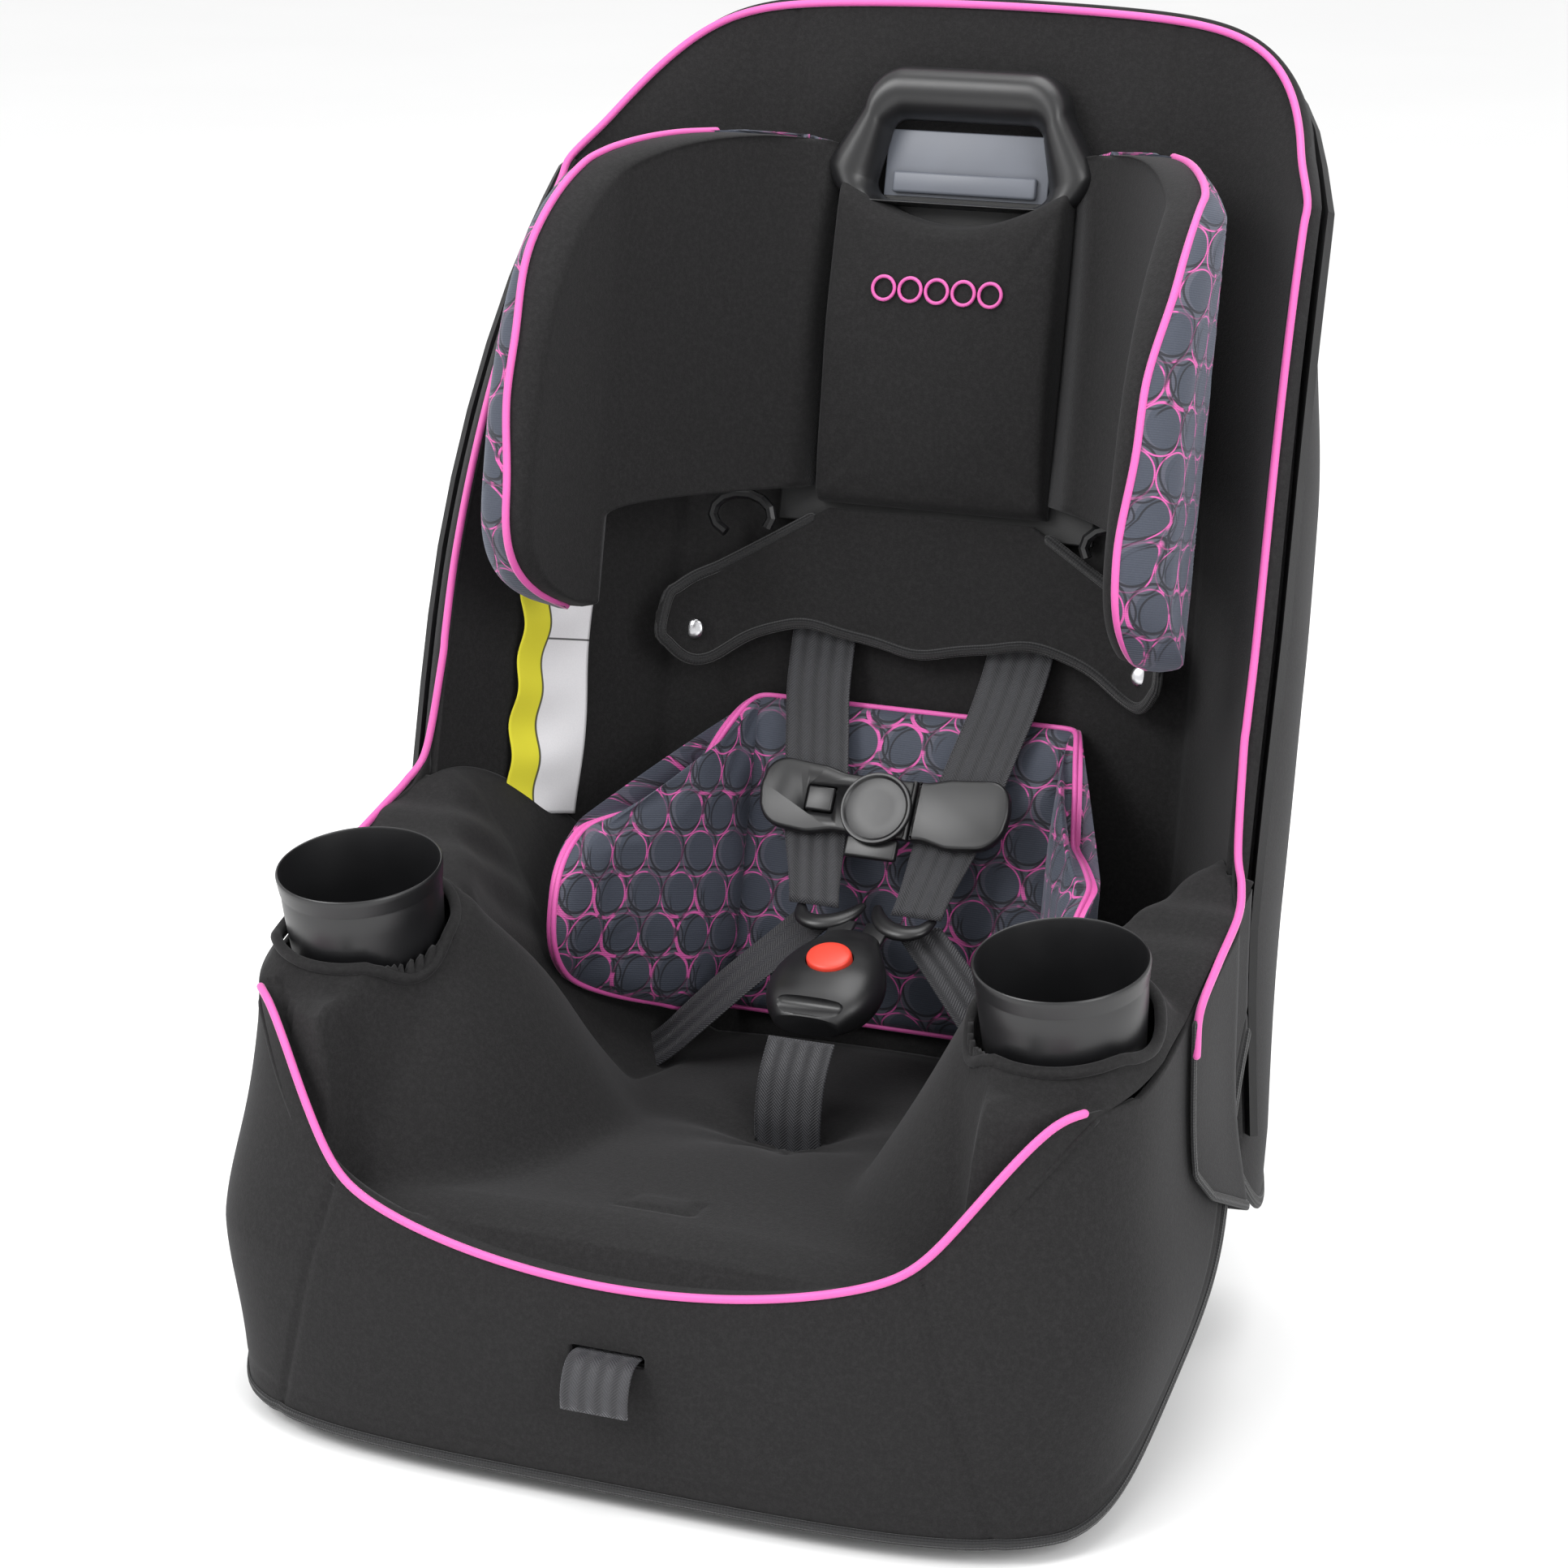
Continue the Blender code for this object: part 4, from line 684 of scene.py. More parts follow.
def ring_tube(name, path, radius, material, sides=12):
    """A round tube along a closed path."""
    ahead = unit(np.roll(path, -1, 0) - np.roll(path, 1, 0))
    outward = unit(path - path.mean(0))
    outward = unit(outward - ahead * np.sum(outward * ahead, -1, keepdims=True))
    up = np.cross(ahead, outward)
    turn = np.linspace(0.0, 2 * math.pi, sides, endpoint=False)
    rings = (path[:, None] + radius * (np.cos(turn)[None, :, None] * outward[:, None]
                                       + np.sin(turn)[None, :, None] * up[:, None]))
    return tidy_normals(make(name, rings, looped_skin(len(path), sides), material))


def eased_line(path, passes):
    """An open path with its corners eased."""
    path = np.array(path, float)
    for _ in range(passes):
        path[1:-1] = 0.5 * path[1:-1] + 0.25 * (path[:-2] + path[2:])
    return path


def smooth_ring(path, count):
    """A closed path evenly spaced, with its corners eased."""
    closed = np.concatenate([path, path[:1]])
    length = lengths_along(closed)
    wanted = np.linspace(0.0, length[-1], count, endpoint=False)
    ring = np.stack([np.interp(wanted, length, closed[:, k]) for k in range(3)], -1)
    for _ in range(6):
        ring = 0.5 * ring + 0.25 * (np.roll(ring, 1, 0) + np.roll(ring, -1, 0))
    return ring


def eased(points, outs, spacing=0.004):
    """A smooth route with the outward direction carried along it."""
    route = spline(points, spacing)
    points = np.asarray(points, float)
    length = lengths_along(points)
    share = np.linspace(0.0, length[-1], len(route))
    outs = np.asarray(outs, float)
    out = np.stack([np.interp(share, length, outs[:, k]) for k in range(3)], -1)
    return route, unit(out)


def placed(origin, across, along, out):
    """The matrix that stands a form at a place, facing three directions."""
    turn = Matrix((tuple(across), tuple(along), tuple(out))).transposed()
    return Matrix.Translation(tuple(origin)) @ turn.to_4x4()


def turned(name, profile, place, material, steps=72, stretch=(1.0, 1.0)):
    """A profile of (radius, height) points turned about its frame's Z axis."""
    profile = np.asarray(profile, float)
    angle = np.linspace(0.0, 2 * math.pi, steps, endpoint=False)
    rings = np.stack([profile[:, 0, None] * np.cos(angle) * stretch[0],
                      profile[:, 0, None] * np.sin(angle) * stretch[1],
                      np.broadcast_to(profile[:, 1, None], (len(profile), steps))], -1)
    piece = make(name, rings, skin(len(profile), steps), material)
    piece.data.transform(place)
    return tidy_normals(piece)


def tidy_normals(piece):
    """Joins doubled points and turns every face outwards."""
    shape = bmesh.new()
    shape.from_mesh(piece.data)
    bmesh.ops.remove_doubles(shape, verts=shape.verts, dist=1e-6)
    bmesh.ops.recalc_face_normals(shape, faces=shape.faces)
    shape.to_mesh(piece.data)
    shape.free()
    return piece


def loft(name, rings, material):
    """Closed sections of equal count joined in order and capped."""
    rings = np.asarray(rings, float)
    return tidy_normals(make(name, rings, skin(*rings.shape[:2]), material))


def rounded_ends(rings, radius):
    """Draws in the first and last sections, so that the ends are round."""
    rings = rings.copy()
    middle = rings.mean(1)
    along = lengths_along(middle)
    for k, centre in enumerate(middle):
        near = min(along[k], along[-1] - along[k])
        if near < radius:
            draw = radius - math.sqrt(radius ** 2 - (radius - near) ** 2)
            away = np.linalg.norm(rings[k] - centre, axis=1, keepdims=True)
            rings[k] -= (rings[k] - centre) * np.minimum(0.85, draw / np.maximum(away, 1e-6))
    return rings


def plate(name, edge, low, high, place, material, bevel):
    """A flat moulding with eased edges; its edge runs anticlockwise."""
    points = np.asarray(edge, float)
    ahead = unit(np.roll(points, -1, 0) - np.roll(points, 1, 0))
    inward = np.stack([-ahead[:, 1], ahead[:, 0]], -1)
    steps = [(1.0, 0.0), (0.42, 0.18), (0.12, 0.5), (0.0, 1.0)]
    levels = [(bevel * inset, low + bevel * rise) for inset, rise in steps]
    levels += [(bevel * inset, high - bevel * rise) for inset, rise in reversed(steps)]
    rings = [np.column_stack([points + inward * inset, np.full(len(points), level)])
             for inset, level in levels]
    piece = loft(name, rings, material)
    piece.data.transform(place)
    piece.data.set_sharp_from_angle(angle=math.radians(50))
    return piece


def block(name, size, place, material, bevel):
    """A box with rounded edges."""
    shape = bmesh.new()
    bmesh.ops.create_cube(shape, size=1.0)
    bmesh.ops.scale(shape, vec=Vector(size), verts=shape.verts)
    bmesh.ops.bevel(shape, geom=list(shape.edges), offset=bevel, segments=3, profile=0.5,
                    affect="EDGES")
    mesh = bpy.data.meshes.new(name)
    shape.to_mesh(mesh)
    shape.free()
    mesh.transform(place)
    mesh.materials.append(material)
    mesh.shade_smooth()
    mesh.set_sharp_from_angle(angle=math.radians(40))
    return link(name, mesh)


def carve(piece, cutter):
    """Cuts one piece with another, which is then removed."""
    trim = piece.modifiers.new("carve", "BOOLEAN")
    trim.operation = "DIFFERENCE"
    trim.object = cutter
    graph = bpy.context.evaluated_depsgraph_get()
    mesh = bpy.data.meshes.new_from_object(piece.evaluated_get(graph))
    piece.modifiers.clear()
    piece.data = mesh
    bpy.data.objects.remove(cutter)


def swell(piece, held, pressure, cap, frames=16):
    """Cloth simulation: the piece is blown up while the held points stay, and no point goes past cap."""
    group = piece.vertex_groups.new(name="held")
    group.add([int(k) for k in held], 1.0, "REPLACE")
    cloth = piece.modifiers.new("cloth", "CLOTH")
    cloth.settings.quality = 4
    cloth.settings.mass = 0.3
    cloth.settings.tension_stiffness = 25.0
    cloth.settings.compression_stiffness = 12.0
    cloth.settings.shear_stiffness = 8.0
    cloth.settings.bending_stiffness = 0.8
    cloth.settings.use_pressure = True
    cloth.settings.uniform_pressure_force = pressure
    cloth.settings.effector_weights.gravity = 0.0
    cloth.settings.vertex_group_mass = "held"
    cloth.collision_settings.use_collision = False
    cloth.point_cache.frame_start = 1
    cloth.point_cache.frame_end = frames
    rest = np.empty(len(piece.data.vertices) * 3, np.float32)
    piece.data.vertices.foreach_get("co", rest)
    for number in range(1, frames + 1):
        bpy.context.scene.frame_set(number)
    moved = np.empty_like(rest)
    graph = bpy.context.evaluated_depsgraph_get()
    piece.evaluated_get(graph).data.vertices.foreach_get("co", moved)
    rest = rest.reshape(-1, 3)
    step = moved.reshape(-1, 3) - rest
    length = np.linalg.norm(step, axis=1, keepdims=True)
    step *= np.minimum(1.0, cap / np.maximum(length, 1e-9))
    piece.modifiers.remove(cloth)
    piece.vertex_groups.clear()
    piece.data.vertices.foreach_set("co", (rest + step).astype(np.float32).ravel())
    piece.data.update()
    bpy.context.scene.frame_set(1)


def settle(piece, body, slot, *nodes, fill=None):
    """Puts the piece on the body that it rides on and hides the solids that it stands for. slot is not used.
    fill, whether it is padded, is not used.
    """
    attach(piece, body)
    if nodes:
        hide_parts(*nodes)


# ---------------------------------------------------------------- shared forms

def back_point(x, t, n):
    """Place across the back, up its slope and off its face."""
    x, t, n = np.broadcast_arrays(*(np.asarray(value, float) for value in (x, t, n)))
    return BACK_FOOT + x[..., None] * RIGHT + t[..., None] * UP + n[..., None] * OUT


def rim_depth(t):
    """How far the side walls stand forward at a height up the back."""
    ratio = np.maximum(0.0, (t - RIM_LEVEL) / (BACK_LENGTH - RIM_LEVEL))
    foot = np.maximum(0.0, (RIM_LEVEL - t) / RIM_LEVEL)
    return RIM_DEPTH * np.maximum(0.0, 1.0 - ratio ** 2.7) - RIM_FOOT_LOSS * foot ** 1.3


def half_width(t):
    """Half width of the back, which narrows towards the top."""
    return BACK_HALF - 0.018 * np.clip((t / BACK_LENGTH - 0.42) / 0.45, 0.0, 1.0) ** 1.5


def back_level(u, v):
    """Height up the back of a place on its face, u across and v up."""
    top = BACK_LENGTH * (1.0 - 0.020 * u ** 2 - 0.150 * np.abs(u) ** 8)
    return COVER_FOOT + v * (top - COVER_FOOT)


def back_face(u, v, behind=0.0):
    """Place on the back's inner face, or a distance behind it."""
    def face(a, b):
        t = back_level(a, b)
        wall = np.maximum(0.0, (np.abs(a) - BACK_FLAT) / (1.0 - BACK_FLAT))
        return back_point(a * half_width(t), t, rim_depth(t) * wall ** WALL_CURVE)
    u, v = np.broadcast_arrays(np.asarray(u, float), np.asarray(v, float))
    step = 0.004
    across = face(np.minimum(1.0, u + step), v) - face(np.maximum(-1.0, u - step), v)
    along = face(u, np.minimum(1.0, v + step)) - face(u, np.maximum(0.0, v - step))
    return face(u, v) - unit(np.cross(across, along)) * np.asarray(behind)[..., None]


def skirt_half(z):
    """Half width of the skirt at a level, with its soft bulge."""
    return SKIRT_HALF + 0.011 * bell(z - 0.100, 0.05)


def skirt_curve(z):
    """How far the skirt reaches forward at a level, and how square its corners are."""
    over = np.maximum(0.0, z - 0.10)
    return SKIRT_REACH - 0.17 * over, 4.2 - 7.0 * np.minimum(0.1, over)


def outline(c, z, back=0.0):
    """Place on the skirt: c from 1 at the left side through 0 at the front to -1, at a level z."""
    reach, power = skirt_curve(z)
    s = np.sqrt(np.maximum(0.0, 1.0 - c ** 2))
    x = np.sign(c) * np.abs(c) ** (2.0 / power) * skirt_half(z)
    y = SKIRT_CENTRE_Y - s ** (2.0 / power) * reach + back
    return np.stack(np.broadcast_arrays(x, y, z), -1)


def arc_stations(count):
    """Evenly spaced values of c from 1 to -1 round the front."""
    share = np.linspace(0.0, 1.0, 3000)
    c = np.unique(np.concatenate([share ** 2.1, np.sqrt(1.0 - share ** 4.2)]))[::-1]
    length = lengths_along(outline(c, np.full_like(c, 0.1)))
    picked = np.interp(np.linspace(0.0, length[-1], count), length, c)
    return np.concatenate([picked, -picked[-2::-1]])


def front_edge(x):
    """Level of the piped edge round the front, which climbs towards the arms."""
    x = np.abs(x)
    over = soft_most(x - 0.163, 0.0, 0.016)
    return FRONT_EDGE_Z + 0.025 * (x / 0.16) ** 2 + 0.053 * (over / 0.062) ** 1.1


def side_edge(y):
    """Level of the piped edge along the arms."""
    return np.interp(y, SIDE_EDGE_Y, SIDE_EDGE_Z)


def piped_edge(x, y):
    """Level of the skirt's upper edge."""
    return np.where(y > ARM_TOP_Y, side_edge(y), soft_least(front_edge(x), ARM_EDGE_Z, 0.006))


def front_y(x):
    """Where the skirt's upper edge crosses a distance x from the middle."""
    y = np.full_like(x, -0.2)
    for _ in range(6):
        reach, power = skirt_curve(piped_edge(x, y))
        ratio = np.minimum(1.0, np.abs(x) / (SKIRT_HALF + 0.0002))
        y = SKIRT_CENTRE_Y - (1.0 - ratio ** power) ** (1.0 / power) * reach
    return y


def side_x(y):
    """Half width of the seat cover, which rounds off towards the front."""
    ahead = np.clip((SKIRT_CENTRE_Y - y) / 0.132, 0.0, 1.0)
    return (SKIRT_HALF + 0.0002) * (1.0 - ahead ** 3.5) ** (1.0 / 3.5)


def crease_x(y):
    """Half width of the cushion between the arms."""
    return np.interp(y, (-0.25, -0.203, -0.125, -0.06, 0.0, 0.124),
                     (0.168, 0.158, 0.134, 0.121, 0.111, 0.101))


def shoulder_x(y):
    """Where the arm's inner slope reaches its top."""
    return np.interp(y, (-0.25, -0.203, -0.125, -0.076, -0.03, 0.019, 0.06),
                     (0.190, 0.176, 0.156, 0.164, 0.194, 0.222, 0.228))


def cup_axis_away(x, y, z):
    """Distance of a place from the nearer cup's axis."""
    place = np.stack(np.broadcast_arrays(np.abs(x), y, z), -1) - CUP_RIM
    return np.linalg.norm(np.cross(place, CUP_AXIS), axis=-1)


def seat_level(x, y):
    """Level of the seat cover: cushion, creases, arms, and the lips round the cups."""
    ahead = np.maximum(0.0, (-0.205 - y) / 0.040)
    behind = np.maximum(0.0, (y + 0.20) / 0.30)
    low = 0.1345 - 0.012 * ahead ** 2 - 0.022 * behind ** 0.9
    low -= 0.006 * np.minimum(1.0, (np.abs(x) / 0.142) ** 2)
    low -= 0.017 * np.exp(-(x / 0.042) ** 2 - ((y + 0.030) / 0.034) ** 2)
    low += 0.004 * np.exp(-(x / 0.075) ** 2 - ((y + 0.110) / 0.060) ** 2)
    high = side_edge(np.maximum(y, ARM_TOP_Y)) + 0.003
    crease, shoulder = crease_x(y), shoulder_x(y)
    share = (np.abs(x) - crease) / (shoulder - crease)
    level = low + (high - low) * smooth(share) ** 0.9
    level -= 0.0045 * bell(np.abs(x) - crease, 0.007) * smooth((0.08 - y) / 0.04)
    edge = piped_edge(x, y)
    wide = 0.020 + 0.016 * smooth((np.abs(x) - 0.16) / 0.03)
    ahead = np.clip((y - front_y(np.minimum(np.abs(x), 0.24))) / wide, 0.0, 1.0)
    aside = np.clip((side_x(y) - np.abs(x)) / 0.014, 0.0, 1.0)
    level = edge + (level - edge) * round_over(ahead) * round_over(aside)
    away = cup_axis_away(x, y, level)
    cone = 0.234 + 0.28 * (y + 0.141) - 1.75 * np.maximum(0.0, away - 0.050)
    level = soft_most(level, cone, 0.010)
    level = np.where(aside < 1.0, np.minimum(level, edge + 0.016 * aside + 0.001), level)
    return level + 0.005 * bell(away - 0.046, 0.006) * np.minimum(1.0, aside * 1.5)


def lumbar_point(u, v, lift):
    """The lumbar pad: u across from -1 to 1, v up, and how far it stands off."""
    u, v, lift = np.broadcast_arrays(*(np.asarray(value, float) for value in (u, v, lift)))
    side = np.sign(u)
    wrap = np.maximum(0.0, np.abs(u) - 0.5) / 0.5
    top = 0.202 - 0.060 * (wrap / 2) ** 2 * 4
    t = 0.024 + v * (top - 0.024)
    bulge = np.maximum(0.10, (1.0 - np.abs(2 * v - 1) ** 2.8)) ** 0.50
    middle = back_point(u * 0.19, t, 0.0006 + lift)
    reach = 0.141 * wrap * bulge
    x = 0.095 + 0.055 * np.minimum(1.0, wrap * bulge * 1.3)
    lean = 0.4 + 0.6 * np.minimum(1.0, wrap * 2)
    wing = back_point(side * (x - lift * lean), t, 0.0006 + 0.006 * wrap + reach + lift * (1 - lean))
    return np.where((wrap > 0)[..., None], wing, middle)


def head_pad_n(t):
    """How far the head pad's middle stands off the back."""
    share = (t - 0.312) / 0.164
    crown = np.sin(math.pi * np.clip(0.08 + 0.62 * share, 0.0, 1.0)) ** 0.6
    return 0.013 + 0.021 * crown


def head_top(x):
    """Height of the head pad's top edge, which dips in the middle."""
    return 0.471 + 0.025 * (np.abs(x) / 0.066) ** 2


def wing_front(t):
    """How far forward the wing reaches at a height."""
    above = np.maximum(0.0, t - 0.325) / 0.190
    below = np.maximum(0.0, 0.325 - t) / 0.0845
    return 0.200 * (1.0 - above ** 2.6) ** 0.45 * (1.0 - below ** 4) ** 0.30


def wing_inner(t):
    """Rear limit of the wing, lifted near the bottom by the cut-out for the belt."""
    return 0.017 + 0.098 * smooth((0.321 - t) / 0.026) ** 0.7


def wing_x(n):
    """Distance of the wing's inner face from the middle, wider towards the front."""
    spread = 0.104 * (np.maximum(0.0, n - 0.017) / 0.15) ** 0.6
    return 0.0688 + spread / (1 + 0.3 * np.maximum(0.0, n - 0.12) / 0.08)


def wing_edge(t):
    """The wing's piped edge: (x, n)."""
    n = wing_front(t)
    x = wing_x(n) + 0.0135 + 0.006 * smooth((t - 0.38) / 0.06) - 0.005 * smooth((0.36 - t) / 0.06)
    return np.minimum(x, 0.180), n


def flap_low(x):
    """Height of the flap's lower edge, which drops round each snap."""
    x = np.abs(x)
    return 0.240 + 0.005 * bell(x - 0.066, 0.020) - 0.006 * bell(x, 0.022) - 0.022 * bell(x - SNAP_X, 0.026)


def flap_high(x):
    """Height of its upper edge, which slopes down past the head pad."""
    return 0.3105 - 0.054 * (np.maximum(0.0, np.abs(x) - 0.060) / 0.090) ** 0.95


def flap_n(x):
    """How far the flap stands off the back; its ends lie on the side walls."""
    wall = np.maximum(0.0, (np.abs(x) / BACK_HALF - BACK_FLAT + 0.11) / (1.0 - BACK_FLAT))
    return 0.0095 + RIM_DEPTH * wall ** 1.6


def flap_line(x, share):
    """Height of a place on the flap, share 0 on its lower edge and 1 on its upper."""
    low, high = flap_low(x), flap_high(x)
    tip = np.clip((np.abs(x) - 0.130) / 0.0181, 0.0, 1.0)
    half = (high - low) / 2 * np.sqrt(1.0 - tip ** 2.2)
    return (low + high) / 2 + half * (2 * share - 1)


def clip_place(x, along, out):
    """Where a piece of the chest clip stands."""
    middle = STRAP_NEAR + 0.46 * (STRAP_FAR - STRAP_NEAR)
    return placed(middle + x * RIGHT + along * STRAP_RUN + out * STRAP_FACE, RIGHT, STRAP_RUN, STRAP_FACE)


def buckle_point(x, along, out):
    """Place across the buckle, along it and off its middle plane."""
    x, along, out = np.broadcast_arrays(*(np.asarray(value, float) for value in (x, along, out)))
    return BUCKLE_FOOT + x[..., None] * RIGHT + along[..., None] * BUCKLE_ALONG + out[..., None] * BUCKLE_FACE


def buckle_place(x, along, out):
    """Where a piece of the buckle stands."""
    return placed(buckle_point(x, along, out), RIGHT, BUCKLE_ALONG, BUCKLE_FACE)


# ---------------------------------------------------------------- covers of the back

def build_back_cover():
    u, v = np.meshgrid(np.linspace(-1.0, 1.0, 189), np.linspace(0.0, 1.0, 197))
    t = back_level(u, v)
    x = u * half_width(t)
    seams = bell(np.abs(x) - 0.112, 0.0020) * smooth((t - 0.29) / 0.02)
    crease = bell(np.abs(u) - 0.67, 0.016) * smooth((t - 0.08) / 0.06) * smooth((0.36 - t) / 0.06)
    face = back_face(u, v)
    waves = 0.5 + 0.5 * ripple(face * (1.0, 1.0, 0.6), 0.13, 3)
    sunk = 0.0004 + sizes().seam * seams + 0.0020 * crease + 0.0014 * waves * (1.0 - np.abs(u) ** 12)
    front = back_face(u, v, sunk)
    cover = slab("back_cover_fabric", front, back_face(u, v, COVER_THICK), finish(black_knit))
    stem = block("cutter", (0.030, 0.176, 0.12), placed(back_point(0.0, 0.430, -0.01), RIGHT, UP, -OUT),
                 finish(black_knit), 0.002)
    carve(cover, stem)
    for side, _ in SIDES:
        middle = placed(back_point(side * STRAP_TOP_X, SLOT_T, 0.0), RIGHT, UP, -OUT)
        carve(cover, block("cutter", (0.044, 0.012, 0.08), middle, finish(black_knit), 0.004))
    cover.data.shade_smooth()
    settle(cover, "seat", "black_knit", "back_cover", fill=0.5)


def wrap_rows(side, levels, shares):
    """The outside of one side wall: from the piping (share 0) to the rear edge (share 1)."""
    share, level = np.meshgrid(shares, levels)
    low = -0.004 - 0.030 * np.sin(math.pi * np.minimum(share, 1.0))
    t = low + level * (WRAP_TOP - 0.001 - low)
    held = np.maximum(t, COVER_FOOT)
    v = (held - COVER_FOOT) / (WRAP_TOP - COVER_FOOT)
    rim = back_face(np.ones_like(v), v, 0.0010)
    rear = back_point(half_width(held) - WRAP_TURN_IN, held, WRAP_REAR)
    inside = np.minimum(share, 1.0)
    s = inside[..., None]
    place = rim * (1 - s) + rear * s + UP * (t - held)[..., None]
    arch = np.sin(math.pi * inside)
    bow = 0.010 * arch * np.minimum(1.0, rim_depth(held) / 0.06) + 0.0042 * smooth(inside * 9)
    bow += 0.0012 * ripple(place * (1.0, 1.0, 0.45), 0.12, 11) * arch * smooth((1.0 - level) / 0.15)
    bow *= 1.0 - 0.55 * smooth((t - 0.33) / 0.13)
    hem = np.maximum(0.0, share - 1.0) * smooth((t - 0.04) / 0.06)
    place = place + RIGHT * (bow - 0.090 * hem)[..., None] - OUT * (0.012 * np.minimum(hem, 0.3))[..., None]
    return place * (side, 1.0, 1.0)


def build_side_wraps():
    shares = np.concatenate([np.linspace(0.0, 1.0, 44), np.linspace(1.02, 1.26, 6)])
    levels = np.linspace(0.0, 1.0, 170)
    for side, word in SIDES:
        rows = wrap_rows(side, levels, shares)
        if side < 0:
            rows = rows[:, ::-1]
        wrap = sheet("side_wrap_" + word, rows, CLOTH_THICK, finish(black_knit))
        settle(wrap, "seat", "black_knit", "side_panel_" + word)
        low = wrap_rows(side, np.array([0.0]), np.linspace(0.02, 0.98, 60))[0]
        edge = tube("side_binding_" + word, low - (0.0, 0.0, 0.0005), sizes().binding * 0.42,
                    finish(ribbed_binding), 14, 0.45, (side * 1.0, 0.0, 0.0))
        settle(edge, "seat", "black_knit")


def build_side_aprons():
    """The wraps' forward ends, hanging over the skirt from the swept piping."""
    along, share = np.meshgrid(np.linspace(0.0, 1.0, 50), np.linspace(0.0, 1.0, 40))
    y = -0.099 + 0.113 * along
    low = np.interp(y, (-0.099, -0.080, -0.040, 0.014), (0.158, 0.140, 0.121, 0.096))
    high = np.interp(y, (-0.099, -0.060, -0.020, 0.0, 0.014), (0.2350, 0.2505, 0.2625, 0.2725, 0.2890))
    z = low + share * (high - low)
    skirt = skirt_half(z) + 0.0032
    x = skirt + (0.2300 - skirt) * smooth((y + 0.030) / 0.044)
    x = x + 0.0010 * ripple(np.stack([x, y, z * 0.5], -1), 0.09, 17)
    for side, word in SIDES:
        place = np.stack([side * x, y, z], -1)
        place = place if side > 0 else place[:, ::-1]
        apron = sheet("side_apron_" + word, place, 0.0020, finish(black_knit))
        settle(apron, "seat", "black_knit")
        line = np.concatenate([place[::-1, 0] if side > 0 else place[::-1, -1],
                               place[0] if side > 0 else place[0, ::-1]])
        edge = tube("apron_binding_" + word, resample(line, 0.004), sizes().binding * 0.30,
                    finish(ribbed_binding), 12, 0.5, (side * 1.0, 0.0, 0.0))
        settle(edge, "seat", "black_knit")


def build_top_wrap():
    u = np.linspace(-1.0, 1.0, 150)
    share = np.concatenate([np.linspace(0.0, 1.0, 16), np.linspace(1.06, 2.0, 12)])
    u, share = np.meshgrid(u, share)
    rim = back_face(u, np.ones_like(u), 0.0010)
    t = back_level(u, np.ones_like(u)) - 0.001
    rear = back_point(u * (half_width(t) - WRAP_TURN_IN), t - 0.003 * (1.0 - u ** 8), WRAP_REAR)
    inside = np.minimum(share, 1.0)
    s = inside[..., None]
    corner = unit(np.stack([12.0 * u ** 9, np.zeros_like(u), np.ones_like(u)], -1))
    outward = corner[..., :1] * RIGHT + corner[..., 2:] * UP
    depth = np.minimum(1.0, rim_depth(t) / 0.06)
    bow = (0.0035 + 0.0065 * depth) * np.sin(math.pi * inside) + 0.0042 * smooth(inside * 9)
    bow *= 1.0 - 0.55 * np.abs(u) ** 12
    hem = np.maximum(0.0, share - 1.0)[..., None]
    place = rim * (1 - s) + rear * s + outward * (bow[..., None] - 0.040 * hem)
    place = place - OUT * 0.0035 * np.minimum(1.0, hem * 3)
    wrap = sheet("top_wrap", place, CLOTH_THICK, finish(black_knit))
    settle(wrap, "seat", "black_knit")


def build_rim_piping():
    """Down one rim and forward along the arm, over the top and down the other."""
    sweep = [(0.2450, -0.100, 0.2200), (0.2440, -0.093, 0.2400), (0.2425, -0.060, 0.2530),
             (0.2405, -0.020, 0.2650), (0.2360, 0.000, 0.2750), (0.2300, 0.0125, 0.2900)]
    level = np.linspace(0.42, 1.0, 24)
    rise = back_face(np.ones_like(level), level) + RIGHT * 0.0018
    across = np.linspace(0.97, -0.97, 60)
    top = back_face(across, np.ones_like(across)) + UP * 0.0012
    fall = rise[::-1] * (-1.0, 1.0, 1.0)
    route = np.concatenate([sweep, rise, top, fall, np.array(sweep[::-1]) * (-1.0, 1.0, 1.0)])
    piping = tube("rim_piping", spline(route, 0.004), sizes().piping, finish(pink_satin))
    settle(piping, "seat", "pink_binding")


# ---------------------------------------------------------------- seat covers

